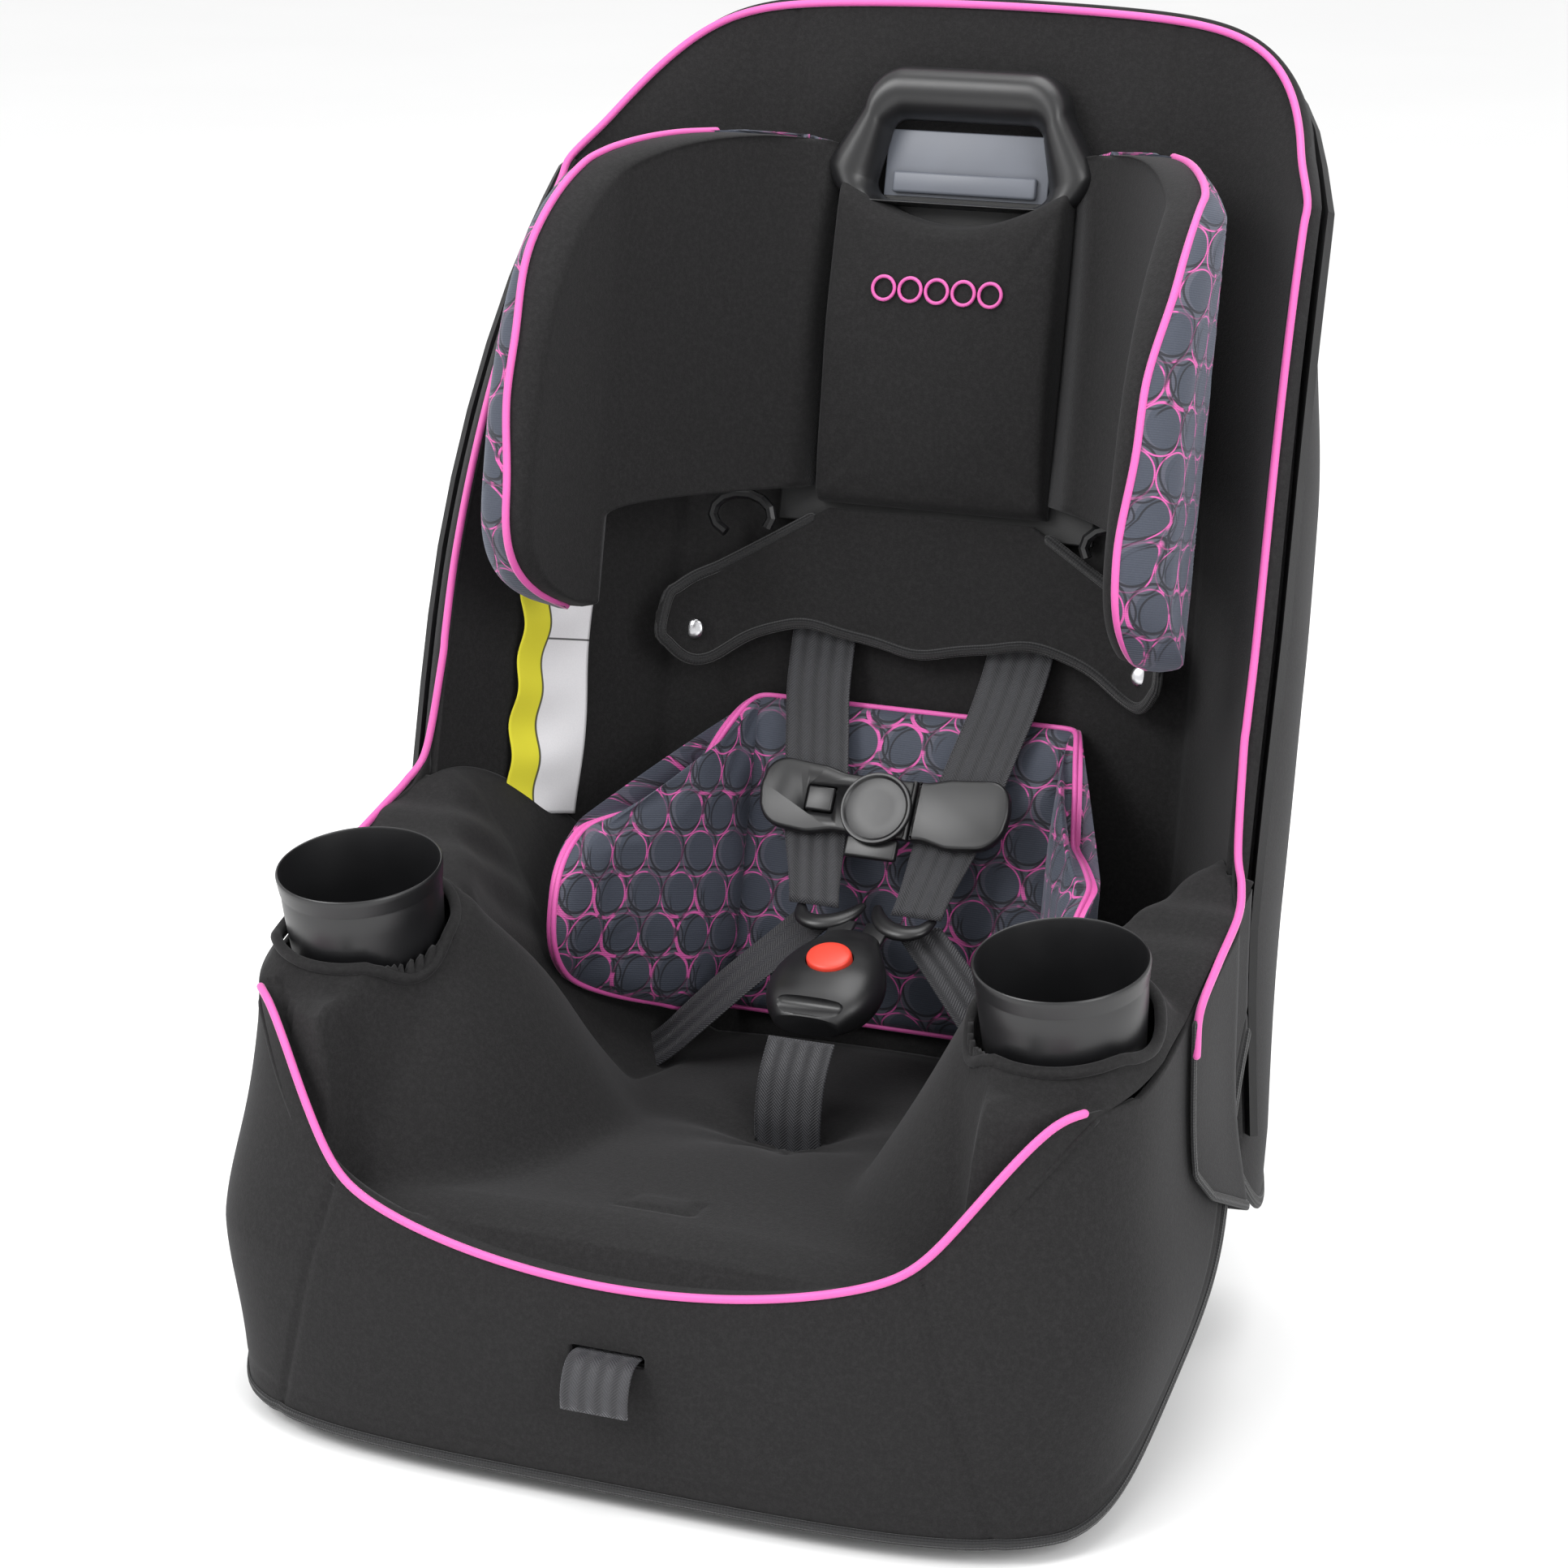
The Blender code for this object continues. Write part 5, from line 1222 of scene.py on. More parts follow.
def build_skirt():
    arc = arc_stations(150)
    ends = np.linspace(SKIRT_END_Y - SKIRT_CENTRE_Y, 0.0, 34)[:-1]
    c = np.concatenate([np.ones_like(ends), arc, -np.ones_like(ends)])[::-1]
    back = np.concatenate([ends, np.zeros_like(arc), ends[::-1]])[::-1]
    guess = outline(c, np.full_like(c, 0.10), back)
    low = 0.012 + 0.107 * np.maximum(0.0, (guess[:, 1] + 0.215) / 0.155) ** 1.5
    high = piped_edge(guess[:, 0], guess[:, 1])
    share = np.linspace(0.0, 1.0, 64)
    z = low + share[:, None] * (high - low)
    face = outline(np.broadcast_to(c, z.shape), z, back)
    out = grid_normals(face)
    out *= np.sign(np.sum(out * (face - (0.0, -0.1, 0.1)), -1, keepdims=True))
    seam_x = 0.158 + 0.032 * (0.136 - z) / 0.116
    seam = bell(np.abs(face[..., 0]) - seam_x, 0.0020) * (face[..., 1] < -0.19) * smooth((0.150 - z) / 0.01)
    hem = bell(z - low - 0.012, 0.0016)
    waves = ripple(face * (1.0, 1.0, 0.35), 0.15, 5) * np.sin(math.pi * share)[:, None]
    face = face + out * (0.0012 * waves - sizes().seam * seam - 0.0008 * hem)[..., None]
    skirt = slab("skirt_fabric", face, face - out * 0.0030, finish(black_knit))
    slot = block("cutter", (0.040, 0.060, 0.0070), Matrix.Translation((0.0, -0.245, 0.0825)),
                 finish(black_knit), 0.002)
    carve(skirt, slot)
    skirt.data.shade_smooth()
    settle(skirt, "seat", "black_knit", "base_cover")
    top = face[-1]
    front = eased_line(top[top[:, 1] <= -0.187] + (0.0, 0.0, 0.0012), 10)
    piping = tube("front_piping", spline(front[::3], 0.004), sizes().piping, finish(pink_satin))
    settle(piping, "seat", "pink_binding")
    binding = tube("skirt_binding", resample(face[0], 0.006), 0.0032, finish(ribbed_binding), 12, 0.45,
                   out[0, 0])
    settle(binding, "seat", "black_knit")


def seat_cloth(face):
    """The seat cover, with round openings for the cups and a slot for the crotch strap."""
    away = cup_axis_away(face[..., 0], face[..., 1], face[..., 2])
    cup = away < CUP_OPENING
    mirror = np.stack([np.sign(face[..., 0]), np.ones_like(away), np.ones_like(away)], -1)
    near = face * mirror - CUP_RIM
    radial = unit(near - CUP_AXIS * (near @ CUP_AXIS)[..., None]) * mirror
    half_long, half_wide = 0.0215, 0.0036
    ahead = face[..., 1] - CROTCH_Y
    slot = (np.abs(face[..., 0]) < half_long) & (np.abs(ahead) < half_wide)
    opened = face + radial * np.where(cup, CUP_OPENING - away, 0.0)[..., None]
    opened[..., 1] = np.where(slot, CROTCH_Y + half_wide * np.sign(ahead), opened[..., 1])
    quads = grid_faces(*face.shape[:2])
    quads = quads[~(cup.ravel()[quads].all(1) | slot.ravel()[quads].all(1))]
    used, corners = np.unique(quads, return_inverse=True)
    cover = make("seat_cover", opened.reshape(-1, 3)[used], corners.reshape(quads.shape),
                 finish(black_knit), flat_chart(face).reshape(-1, 2)[used])
    return thicken(cover, 0.0026)


def cup_ring(side):
    """Closed line round a cup's opening, just above the seat cover."""
    angle = np.linspace(0.0, 2 * math.pi, 80, endpoint=False)[:, None]
    spoke = np.cos(angle) * RIGHT + np.sin(angle) * np.cross(CUP_AXIS, RIGHT)
    ring = CUP_RIM * (side, 1.0, 1.0) + COLLAR_RADIUS * spoke
    depth = (ring[:, 2] - seat_level(ring[:, 0], ring[:, 1]) - 0.001) / CUP_AXIS[2]
    for _ in range(3):
        low = ring - CUP_AXIS * depth[:, None]
        level = seat_level(np.clip(low[:, 0], -0.236, 0.236), low[:, 1])
        depth += (low[:, 2] - level - 0.001) / CUP_AXIS[2]
    return ring - CUP_AXIS * depth[:, None]


def build_seat_cover():
    q = np.linspace(0.0, 1.0, 96)
    half = 0.2395 * (1.0 - (1.0 - q) ** 1.5)
    x = np.concatenate([-half[:0:-1], half])
    start = front_y(x)
    wall = np.clip((np.abs(x) / BACK_HALF - BACK_FLAT) / (1.0 - BACK_FLAT), 0.0, 1.0)
    t = np.full_like(x, 0.05)
    for _ in range(5):
        n = rim_depth(t) * wall ** WALL_CURVE
        end = 0.1165 + UP[1] * t - UP[2] * n
        t = np.clip((seat_level(x, np.minimum(end, 0.1165)) - 0.1 - UP[1] * n) / UP[2], 0.004, 0.3)
    end = np.where(np.abs(x) < 0.2255, end, np.minimum(end, 0.009))
    share = np.linspace(0.0, 1.0, 138) ** 1.15
    y = start + share[:, None] * (end - start)
    xx = np.broadcast_to(x, y.shape)
    level = seat_level(xx, y)
    slit_x, slit_y = xx + 0.0040, y - SLIT_Y
    across = bell(slit_y, 0.0014) * (np.abs(slit_x) < 0.0200)
    sides = bell(np.abs(slit_x) - 0.0195, 0.0014) * (slit_y > 0.0) * (slit_y < 0.016)
    level = level - 0.0028 * np.maximum(across, sides)
    level = level + 0.0010 * np.exp(-(slit_x / 0.017) ** 4 - ((slit_y - 0.008) / 0.008) ** 4)
    face = np.stack([xx, y, level], -1)
    inner = smooth((y - start) / 0.03) * smooth((end - y) / 0.02) * smooth((0.235 - np.abs(xx)) / 0.02)
    folds = 0.0016 * ripple(face * (1.0, 1.0, 0.8), 0.11, 8) * inner
    pull = np.exp(-(xx / 0.11) ** 2 - ((y + 0.03) / 0.07) ** 2)
    angle = np.arctan2(y + 0.03, xx)
    folds = folds + 0.0013 * pull * np.sin(angle * 7.0 + 0.6) * inner
    creases = smooth((np.abs(xx) - crease_x(y) - 0.004) / 0.01) * smooth((0.05 - np.abs(y + 0.02)) / 0.04)
    folds = folds + 0.0014 * creases * np.sin((level * 0.8 + y * 0.5) * 260.0)
    face = face + grid_normals(face) * folds[..., None]
    settle(seat_cloth(face), "seat", "black_knit", "seat_cushion", "arm_cover_left", "arm_cover_right",
           fill=0.6)
    for side, word in SIDES:
        collar = ring_tube("cup_collar_" + word, cup_ring(side), 0.0030, finish(black_knit))
        settle(collar, "seat", "black_knit")


def build_cups():
    outer = [(0.0300, -0.0950), (0.0345, -0.0940), (0.0360, -0.0915), (0.0412, -0.0205), (0.0415, -0.0108),
             (0.0413, -0.0100), (0.0414, -0.0094), (0.0421, -0.0090), (0.0428, -0.0030), (0.0430, -0.0008),
             (0.0427, 0.0000), (0.0422, 0.0004), (0.0417, 0.0001), (0.0414, -0.0008)]
    inner = [(0.0403, -0.0300), (0.0345, -0.0880), (0.0325, -0.0915), (0.0290, -0.0925), (0.0100, -0.0928)]
    for side, word in SIDES:
        place = placed(CUP_RIM * (side, 1.0, 1.0), RIGHT, np.cross(CUP_AXIS, RIGHT), CUP_AXIS)
        cup = turned("cup_" + word, [(0.0001, -0.0950)] + outer + inner + [(0.0001, -0.0928)], place,
                     finish(smooth_plastic), 128)
        cup.data.shade_smooth()
        cup.data.set_sharp_from_angle(angle=math.radians(35))
        settle(cup, "cup_" + word, "shell_plastic", "cup_holder_" + word)


def build_lumbar_pad():
    u, v = np.meshgrid(np.linspace(-1.0, 1.0, 141), np.linspace(0.0, 1.0, 61))
    side = np.clip((1.0 - np.abs(u)) * 0.24 / 0.034, 0.0, 1.0)
    end = np.clip(np.minimum(v, 1.0 - v) * 0.178 / 0.030, 0.0, 1.0)
    dome = round_over(side) * round_over(end)
    seam = bell(np.abs(u) - 0.5, 0.014)
    lift = 0.0050 + 0.0135 * dome - 0.0065 * seam * dome
    front = lumbar_point(u, v, lift)
    back = lumbar_point(u, v, 0.0)
    chart = np.stack([flat_chart(front)[..., 0], (front - BACK_FOOT) @ UP], -1)
    pad = slab("lumbar_fabric", front, back, finish(disc_print), finish(pink_satin), chart)
    held = np.flatnonzero(((side < 0.02) | (end < 0.02) | (np.abs(np.abs(u) - 0.5) < 0.008)).ravel())
    swell(pad, np.concatenate([held, np.arange(u.size, 2 * u.size)]), 3.0, 0.004)
    refine(pad)
    settle(pad, "seat", "print_fabric", "lumbar_pad", fill=0.7)
    ring = np.concatenate([front[0], front[1:, -1], front[-1, -2::-1], front[-2:0:-1, 0]])
    piping = ring_tube("lumbar_piping", smooth_ring(ring, 300), 0.0016, finish(pink_satin), 10)
    settle(piping, "seat", "pink_binding")


# ---------------------------------------------------------------- headrest

def build_head_pad():
    x, share = np.meshgrid(np.linspace(-HEAD_PAD_HALF, HEAD_PAD_HALF, 61), np.linspace(0.0, 1.0, 71))
    t = HEAD_PAD_FOOT + share * (head_top(x) - HEAD_PAD_FOOT)
    n = head_pad_n(t)
    side = np.clip((HEAD_PAD_HALF - np.abs(x)) / 0.008, 0.0, 1.0)
    end = np.clip(np.minimum(share * 2.2, 1.0 - share) * 0.16 / 0.012, 0.0, 1.0)
    roll = (round_over(side) * 0.35 + 0.65) * (0.25 + 0.75 * round_over(end))
    front = back_point(x, t, 0.0100 + (n - 0.0100) * roll + 0.0006 * ripple(back_point(x, t, 0.0), 0.06, 21))
    back = back_point(x, t, 0.0076)
    pad = slab("head_pad_fabric", front, back, finish(black_knit))
    held = np.flatnonzero(((side < 0.02) | (end < 0.02)).ravel())
    swell(pad, np.concatenate([held, np.arange(x.size, 2 * x.size)]), 2.5, 0.0035)
    refine(pad)
    settle(pad, "headrest", "black_knit", "head_pad", fill=0.6)
    angle = np.linspace(0.0, 2 * math.pi, 40, endpoint=False)
    for number in range(5):
        x = (number - 2) * 0.0155 + 0.0064 * np.cos(angle)
        t = 0.4330 + 0.0064 * np.sin(angle)
        mark = ring_tube(f"head_ring_{number + 1}", back_point(x, t, head_pad_n(t) + 0.0026), 0.0010,
                         finish(pink_satin), 8)
        settle(mark, "headrest", "pink_binding")


def wing_ring(side, t, count=24):
    """Closed section of the wing at a height: inner face, nose, outer face."""
    low = float(wing_inner(t))
    edge_x, high = (float(value) for value in wing_edge(t))
    high = max(high, low + 0.014)
    n = np.linspace(low, high - 0.012, count)
    inner = np.stack([wing_x(n), n], -1)
    turn = np.linspace(0.0, math.pi / 2, 9)[1:]
    start = inner[-1]
    nose = np.stack([start[0] + (edge_x - start[0]) * (1 - np.cos(turn)),
                     start[1] + (high - start[1]) * np.sin(turn)], -1)
    shoulder = max(high - 0.020, low + 0.002)
    n = np.linspace(shoulder, low, count)
    thick = 0.027 * np.minimum(1.0, 0.30 + 2.2 * np.maximum(0.0, n - 0.017) / 0.10)
    thick += 0.004 * smooth((n - 0.07) / 0.07)
    up_wall = np.minimum(n / rim_depth(t), 1.0) ** (1 / WALL_CURVE)
    wall = half_width(t) * (BACK_FLAT + (1 - BACK_FLAT) * up_wall) - 0.004
    outer_x = wing_x(n) + thick
    held_in = np.minimum(outer_x, np.maximum(wall, wing_x(n) + 0.008))
    outer_x = np.where(n < rim_depth(t), held_in, outer_x)
    bow = np.linspace(0.0, math.pi / 2, 14)[1:-1]
    round_x = edge_x + (outer_x[0] - edge_x) * np.sin(bow)
    round_n = shoulder + (high - shoulder) * np.cos(bow)
    outer = np.concatenate([np.stack([round_x, round_n], -1), np.stack([outer_x, n], -1)])
    ring = np.concatenate([inner, nose, outer])
    return back_point(side * ring[:, 0], t, np.maximum(ring[:, 1], 0.0090)), len(inner) + len(nose)


def build_wings():
    levels = np.concatenate([np.linspace(0.2450, 0.262, 14), np.linspace(0.264, 0.330, 34),
                             np.linspace(0.334, 0.49, 48), np.linspace(0.493, 0.513, 14)])
    for side, word in SIDES:
        sections = [wing_ring(side, t) for t in levels]
        split = sections[0][1]
        rings = rounded_ends(np.array([ring for ring, _ in sections]), 0.009)
        body = loft("wing_" + word + "_fabric", rings, finish(black_knit))
        settle(body, "headrest", "black_knit", "wing_" + word, fill=0.7)
        outer = rings[:, split - 1:]
        out = grid_normals(outer)
        out *= np.sign(np.sum(out * RIGHT * side, -1).mean())
        inside_out = np.cross(outer[1, 0] - outer[0, 0], outer[0, 1] - outer[0, 0]) @ out[0, 0] >= 0
        face = outer + out * 0.0022
        face = face[:, ::-1] if inside_out else face
        chart = np.stack([flat_chart(face)[..., 0], (face - BACK_FOOT) @ UP], -1)
        panel = sheet("wing_side_" + word, face, 0.0020, finish(disc_print), chart)
        settle(panel, "headrest", "print_fabric")
        line = rings[:, split - 1]
        route = line + OUT * 0.0016 + RIGHT * side * 0.0010
        piping = tube("wing_piping_" + word, spline(route[::2], 0.004), sizes().piping, finish(pink_satin))
        settle(piping, "headrest", "pink_binding")


def build_flap():
    x, share = np.meshgrid(np.linspace(-FLAP_HALF, FLAP_HALF, 161), np.linspace(0.0, 1.0, 41))
    t = flap_line(x, share)
    n = flap_n(x) + 0.0012 + 0.0012 * ripple(back_point(x, t, 0.0), 0.08, 31) * np.sin(math.pi * share)
    n = n + 0.0035 * bell(np.abs(x) - 0.060, 0.022) * (1.0 - share) ** 2
    front = back_point(x, t, n + 0.0040)
    flap = slab("flap_fabric", front, back_point(x, t, n + 0.0006), finish(black_knit))
    settle(flap, "headrest", "black_knit", "headrest_flap")
    low = back_point(x[0], t[0], n[0] + 0.0028)
    high = back_point(x[-1], t[-1], n[-1] + 0.0028)
    under_pad = 0.0700
    left = high[x[-1] < -under_pad][::-1]
    right = high[x[-1] > under_pad][::-1]
    route = np.concatenate([left[:-2], low, right[2:]])
    binding = tube("flap_binding", resample(spline(route[::2], 0.003), 0.003), sizes().binding * 0.40,
                   finish(ribbed_binding), 14, 0.62, OUT)
    settle(binding, "headrest", "black_knit")
    cap = [(0.0001, 0.0), (0.0056, 0.0), (0.0058, 0.0006), (0.0055, 0.0016), (0.0042, 0.0024),
           (0.0020, 0.0029), (0.0001, 0.0030)]
    for side, word in SIDES:
        x = side * SNAP_X
        place = placed(back_point(x, SNAP_T, flap_n(x) + 0.0050), RIGHT, UP, OUT)
        stud = turned("snap_stud_" + word, cap, place, finish(bright_steel), 48)
        settle(stud, "headrest", "steel", "snap_" + word)


def trapezium(low_half, high_half, low, high, corner, count=12):
    """Rounded trapezium in (x, t)."""
    points = []
    for cx, ct, start in ((1, 1, 0), (-1, 1, 1), (-1, -1, 2), (1, -1, 3)):
        half = high_half if ct > 0 else low_half
        for k in range(count):
            angle = math.pi / 2 * (start + k / (count - 1))
            points.append((cx * (half - corner) + corner * math.cos(angle),
                           (high if ct > 0 else low) - ct * corner + corner * math.sin(angle)))
    return np.array(points)


def build_handle():
    outer = trapezium(0.0790, 0.0600, 0.4800, 0.5570, 0.024)
    window = trapezium(0.0500, 0.0450, 0.4830, 0.5270, 0.010)
    profile = [(0.0, 0.0040), (-0.01, 0.0100), (0.03, 0.0165), (0.12, 0.0215), (0.28, 0.0245), (0.48, 0.0250),
               (0.68, 0.0235), (0.84, 0.0195), (0.95, 0.0145), (1.0, 0.0088), (0.985, 0.0068), (0.6, 0.0068),
               (0.3, 0.0040)]
    rings = np.array([back_point(*(outer * (1 - share) + window * share).T, n) for share, n in profile])
    handle = tidy_normals(make("handle", rings, looped_skin(*rings.shape[:2]), finish(smooth_plastic)))
    refine(handle)
    settle(handle, "headrest", "gloss_plastic", "headrest_handle")
    lever = block("lever_plate", (0.0960, 0.0380, 0.0024),
                  placed(back_point(0.0, 0.5035, 0.0048), RIGHT, UP, OUT), finish(grey_plastic), 0.0008)
    settle(lever, "headrest_lever", "grey_plastic", "headrest_lever")
    lip = block("lever_lip", (0.0840, 0.0120, 0.0050),
                placed(back_point(0.0, 0.4935, 0.0078), RIGHT, UP, OUT), finish(grey_plastic), 0.0018)
    settle(lip, "headrest_lever", "grey_plastic")


# ---------------------------------------------------------------- harness

def build_shoulder_straps():
    through = ((0.022, 0.130, -0.0244, -OUT), (0.044, 0.200, -0.0234, -OUT),
               (STRAP_TOP_X, SLOT_T - 0.008, -0.0214, -OUT), (STRAP_TOP_X, SLOT_T, -0.014, UP - OUT * 0.3),
               (STRAP_TOP_X, SLOT_T, -0.002, UP), (STRAP_TOP_X, SLOT_T - 0.003, 0.0035, UP + OUT),
               (STRAP_TOP_X, SLOT_T - 0.012, 0.0052, OUT), (STRAP_TOP_X, SLOT_T - 0.032, 0.0085, OUT))
    for side, word in SIDES:
        points = [back_point(side * x, t, n) for x, t, n, _ in through]
        outs = [out for _, _, _, out in through]
        far = STRAP_FAR + RIGHT * side * (STRAP_TOP_X - 0.003)
        near = STRAP_NEAR + RIGHT * side * STRAP_LOW_X
        for share in np.linspace(0.0, 1.0, 7):
            points.append(far + (near - far) * share)
            outs.append(STRAP_FACE)
        route, out = eased(points, outs)
        ease = smooth((np.arange(len(route)) - len(route) + 14) / 12.0)
        width = sizes().webbing * (1.0 - 0.22 * ease)
        strap = ribbon("shoulder_webbing_" + word, route, np.broadcast_to(RIGHT, route.shape), out, width,
                       finish(webbing))
        settle(strap, "seat", "charcoal_web", "shoulder_strap_" + word)


def build_lap_straps():
    for side, word in SIDES:
        start = buckle_point(side * 0.0300, 0.0910, -0.0034)
        points = [start, (side * 0.046, 0.080, 0.182), (side * 0.070, 0.069, 0.160),
                  (side * 0.092, 0.062, 0.138), (side * 0.108, 0.060, 0.122), (side * 0.126, 0.060, 0.108)]
        first, last = BUCKLE_FACE, unit((side * 0.35, -0.62, 0.70))
        outs = [unit(first * (1 - share) + last * share) for share in np.linspace(0.0, 1.0, 6)]
        route, out = eased(points, outs)
        ahead = unit(np.gradient(route, axis=0))
        across = unit(np.cross(ahead, out))
        across *= np.sign(across[:, :1])
        share = np.linspace(0.3, 1.0, len(route))[:, None]
        across = unit(RIGHT * (1 - share) + across * share)
        strap = ribbon("lap_webbing_" + word, route, across, out, LAP_WIDTH, finish(webbing))
        settle(strap, "seat", "charcoal_web", "lap_strap_" + word)


def build_crotch_strap():
    points = [(0.0, CROTCH_Y, 0.0785), (0.0, CROTCH_Y, 0.105), (0.0, CROTCH_Y, 0.124),
              (0.0, -0.020, 0.144), (0.0, -0.007, 0.1605)]
    outs = [(0.0, -1.0, 0.0), (0.0, -1.0, 0.0), (0.0, -1.0, 0.1), (0.0, -0.90, 0.40), (0.0, -0.80, 0.60)]
    route, out = eased(points, outs, 0.003)
    strap = ribbon("crotch_webbing", route, np.broadcast_to(RIGHT, route.shape), out, sizes().webbing,
                   finish(webbing))
    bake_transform(strap)
    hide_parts("crotch_strap")


def build_adjuster_strap():
    down = (0.0, 0.0, -1.0)
    route = ((0.162, 0.0900, (0.0, 1.0, 0.0)), (0.150, 0.0560, (0.0, 0.7, -0.7)), (0.120, 0.0500, down),
             (0.0, 0.0520, down), (-0.120, 0.0660, down), (-0.170, 0.0700, down), (-0.219, 0.0705, down),
             (-0.234, 0.0775, (0.0, 0.4, -1.0)), (-0.252, 0.0832, (0.0, 0.1, -1.0)),
             (-0.262, 0.0806, (0.0, 0.6, -0.8)), (-0.2675, 0.0700, (0.0, 0.95, -0.3)),
             (-0.2680, 0.0590, (0.0, 1.0, 0.0)))
    points = [back_point(0.0, 0.104, -0.0244), back_point(0.0, 0.050, -0.0244)]
    outs = [-OUT, -OUT]
    for y, z, out in route:
        points.append(np.array((0.0, y, z)))
        outs.append(np.array(out))
    line, out = eased(points, outs)
    strap = ribbon("adjuster_webbing", line, np.broadcast_to(-RIGHT, line.shape), out, ADJUSTER_WIDTH,
                   finish(webbing))
    settle(strap, "seat", "charcoal_web", "adjuster_strap")


def half_bar(left, right, end_left, end_right):
    """Outline of one half of the chest clip; its ends are round where asked."""
    x = np.linspace(left, right, 60)
    arch = 0.0045 * (x / 0.068) ** 2
    upper = 0.0172 + 0.0024 * smooth((np.abs(x) - 0.022) / 0.016) + arch
    lower = -0.0162 - 0.0042 * smooth((np.abs(x) - 0.024) / 0.020) + arch
    middle, half = (upper + lower) / 2, (upper - lower) / 2
    for at, wanted, toward in ((left, end_left, 1), (right, end_right, -1)):
        if wanted:
            near = np.clip((x - at) * toward / 0.017, 0.0, 1.0)
            half = half * (0.10 + 0.90 * np.sqrt(1.0 - (1.0 - near) ** 2.4))
    return np.concatenate([np.column_stack([x, middle - half]),
                           np.column_stack([x, middle + half])[::-1]])


def build_chest_clip():
    middle = clip_place(0.0, 0.0, 0.0)
    frame_half = plate("clip_half_right", half_bar(-CLIP_END, 0.0180, True, False), CLIP_FACE, CLIP_FRONT,
                       middle, finish(smooth_plastic), 0.0022)
    window = block("cutter", (0.0176, 0.0160, 0.02), clip_place(-0.0360, 0.0010, CLIP_FACE + 0.0115),
                   finish(smooth_plastic), 0.0015)
    carve(frame_half, window)
    settle(frame_half, "chest_clip", "gloss_plastic", "clip_frame")
    insert = plate("clip_half_left", half_bar(0.0186, CLIP_END, False, True), CLIP_FACE, CLIP_FRONT,
                   middle, finish(smooth_plastic), 0.0022)
    settle(insert, "clip_insert", "gloss_plastic", "clip_insert")
    button = block("clip_push", (0.0156, 0.0138, 0.0042), clip_place(-0.0360, 0.0010, CLIP_FACE + 0.0064),
                   finish(smooth_plastic), 0.0012)
    settle(button, "clip_button", "gloss_plastic", "clip_button")
    disc = [(0.0001, 0.0003), (0.0200, 0.0003), (0.0205, 0.0010), (0.0205, 0.0024), (0.0200, 0.0031),
            (0.0189, 0.0033), (0.0181, 0.0030), (0.0176, 0.0022), (0.0170, 0.0020), (0.0100, 0.0023),
            (0.0001, 0.0025)]
    medal = turned("clip_disc", disc, clip_place(-0.0020, -0.0010, CLIP_FRONT), finish(smooth_plastic), 96)
    medal.data.set_sharp_from_angle(angle=math.radians(40))
    settle(medal, "chest_clip", "gloss_plastic", "clip_medallion")
    tab = block("clip_tab", (0.0300, 0.0120, 0.0050), clip_place(-0.0020, -0.0225, CLIP_FACE + 0.0028),
                finish(smooth_plastic), 0.0015)
    settle(tab, "chest_clip", "gloss_plastic")
    for side, body, word in ((1, "clip_insert", "left"), (-1, "chest_clip", "right")):
        bar = block("clip_bar_" + word, (0.0440, 0.0100, 0.0030), clip_place(side * 0.0450, 0.0, -0.0034),
                    finish(smooth_plastic), 0.0010)
        settle(bar, body, "gloss_plastic")
        end = block("clip_end_" + word, (0.0034, 0.0094, 0.0110), clip_place(side * 0.0655, 0.0, 0.0005),
                    finish(smooth_plastic), 0.0010)
        settle(end, body, "gloss_plastic")


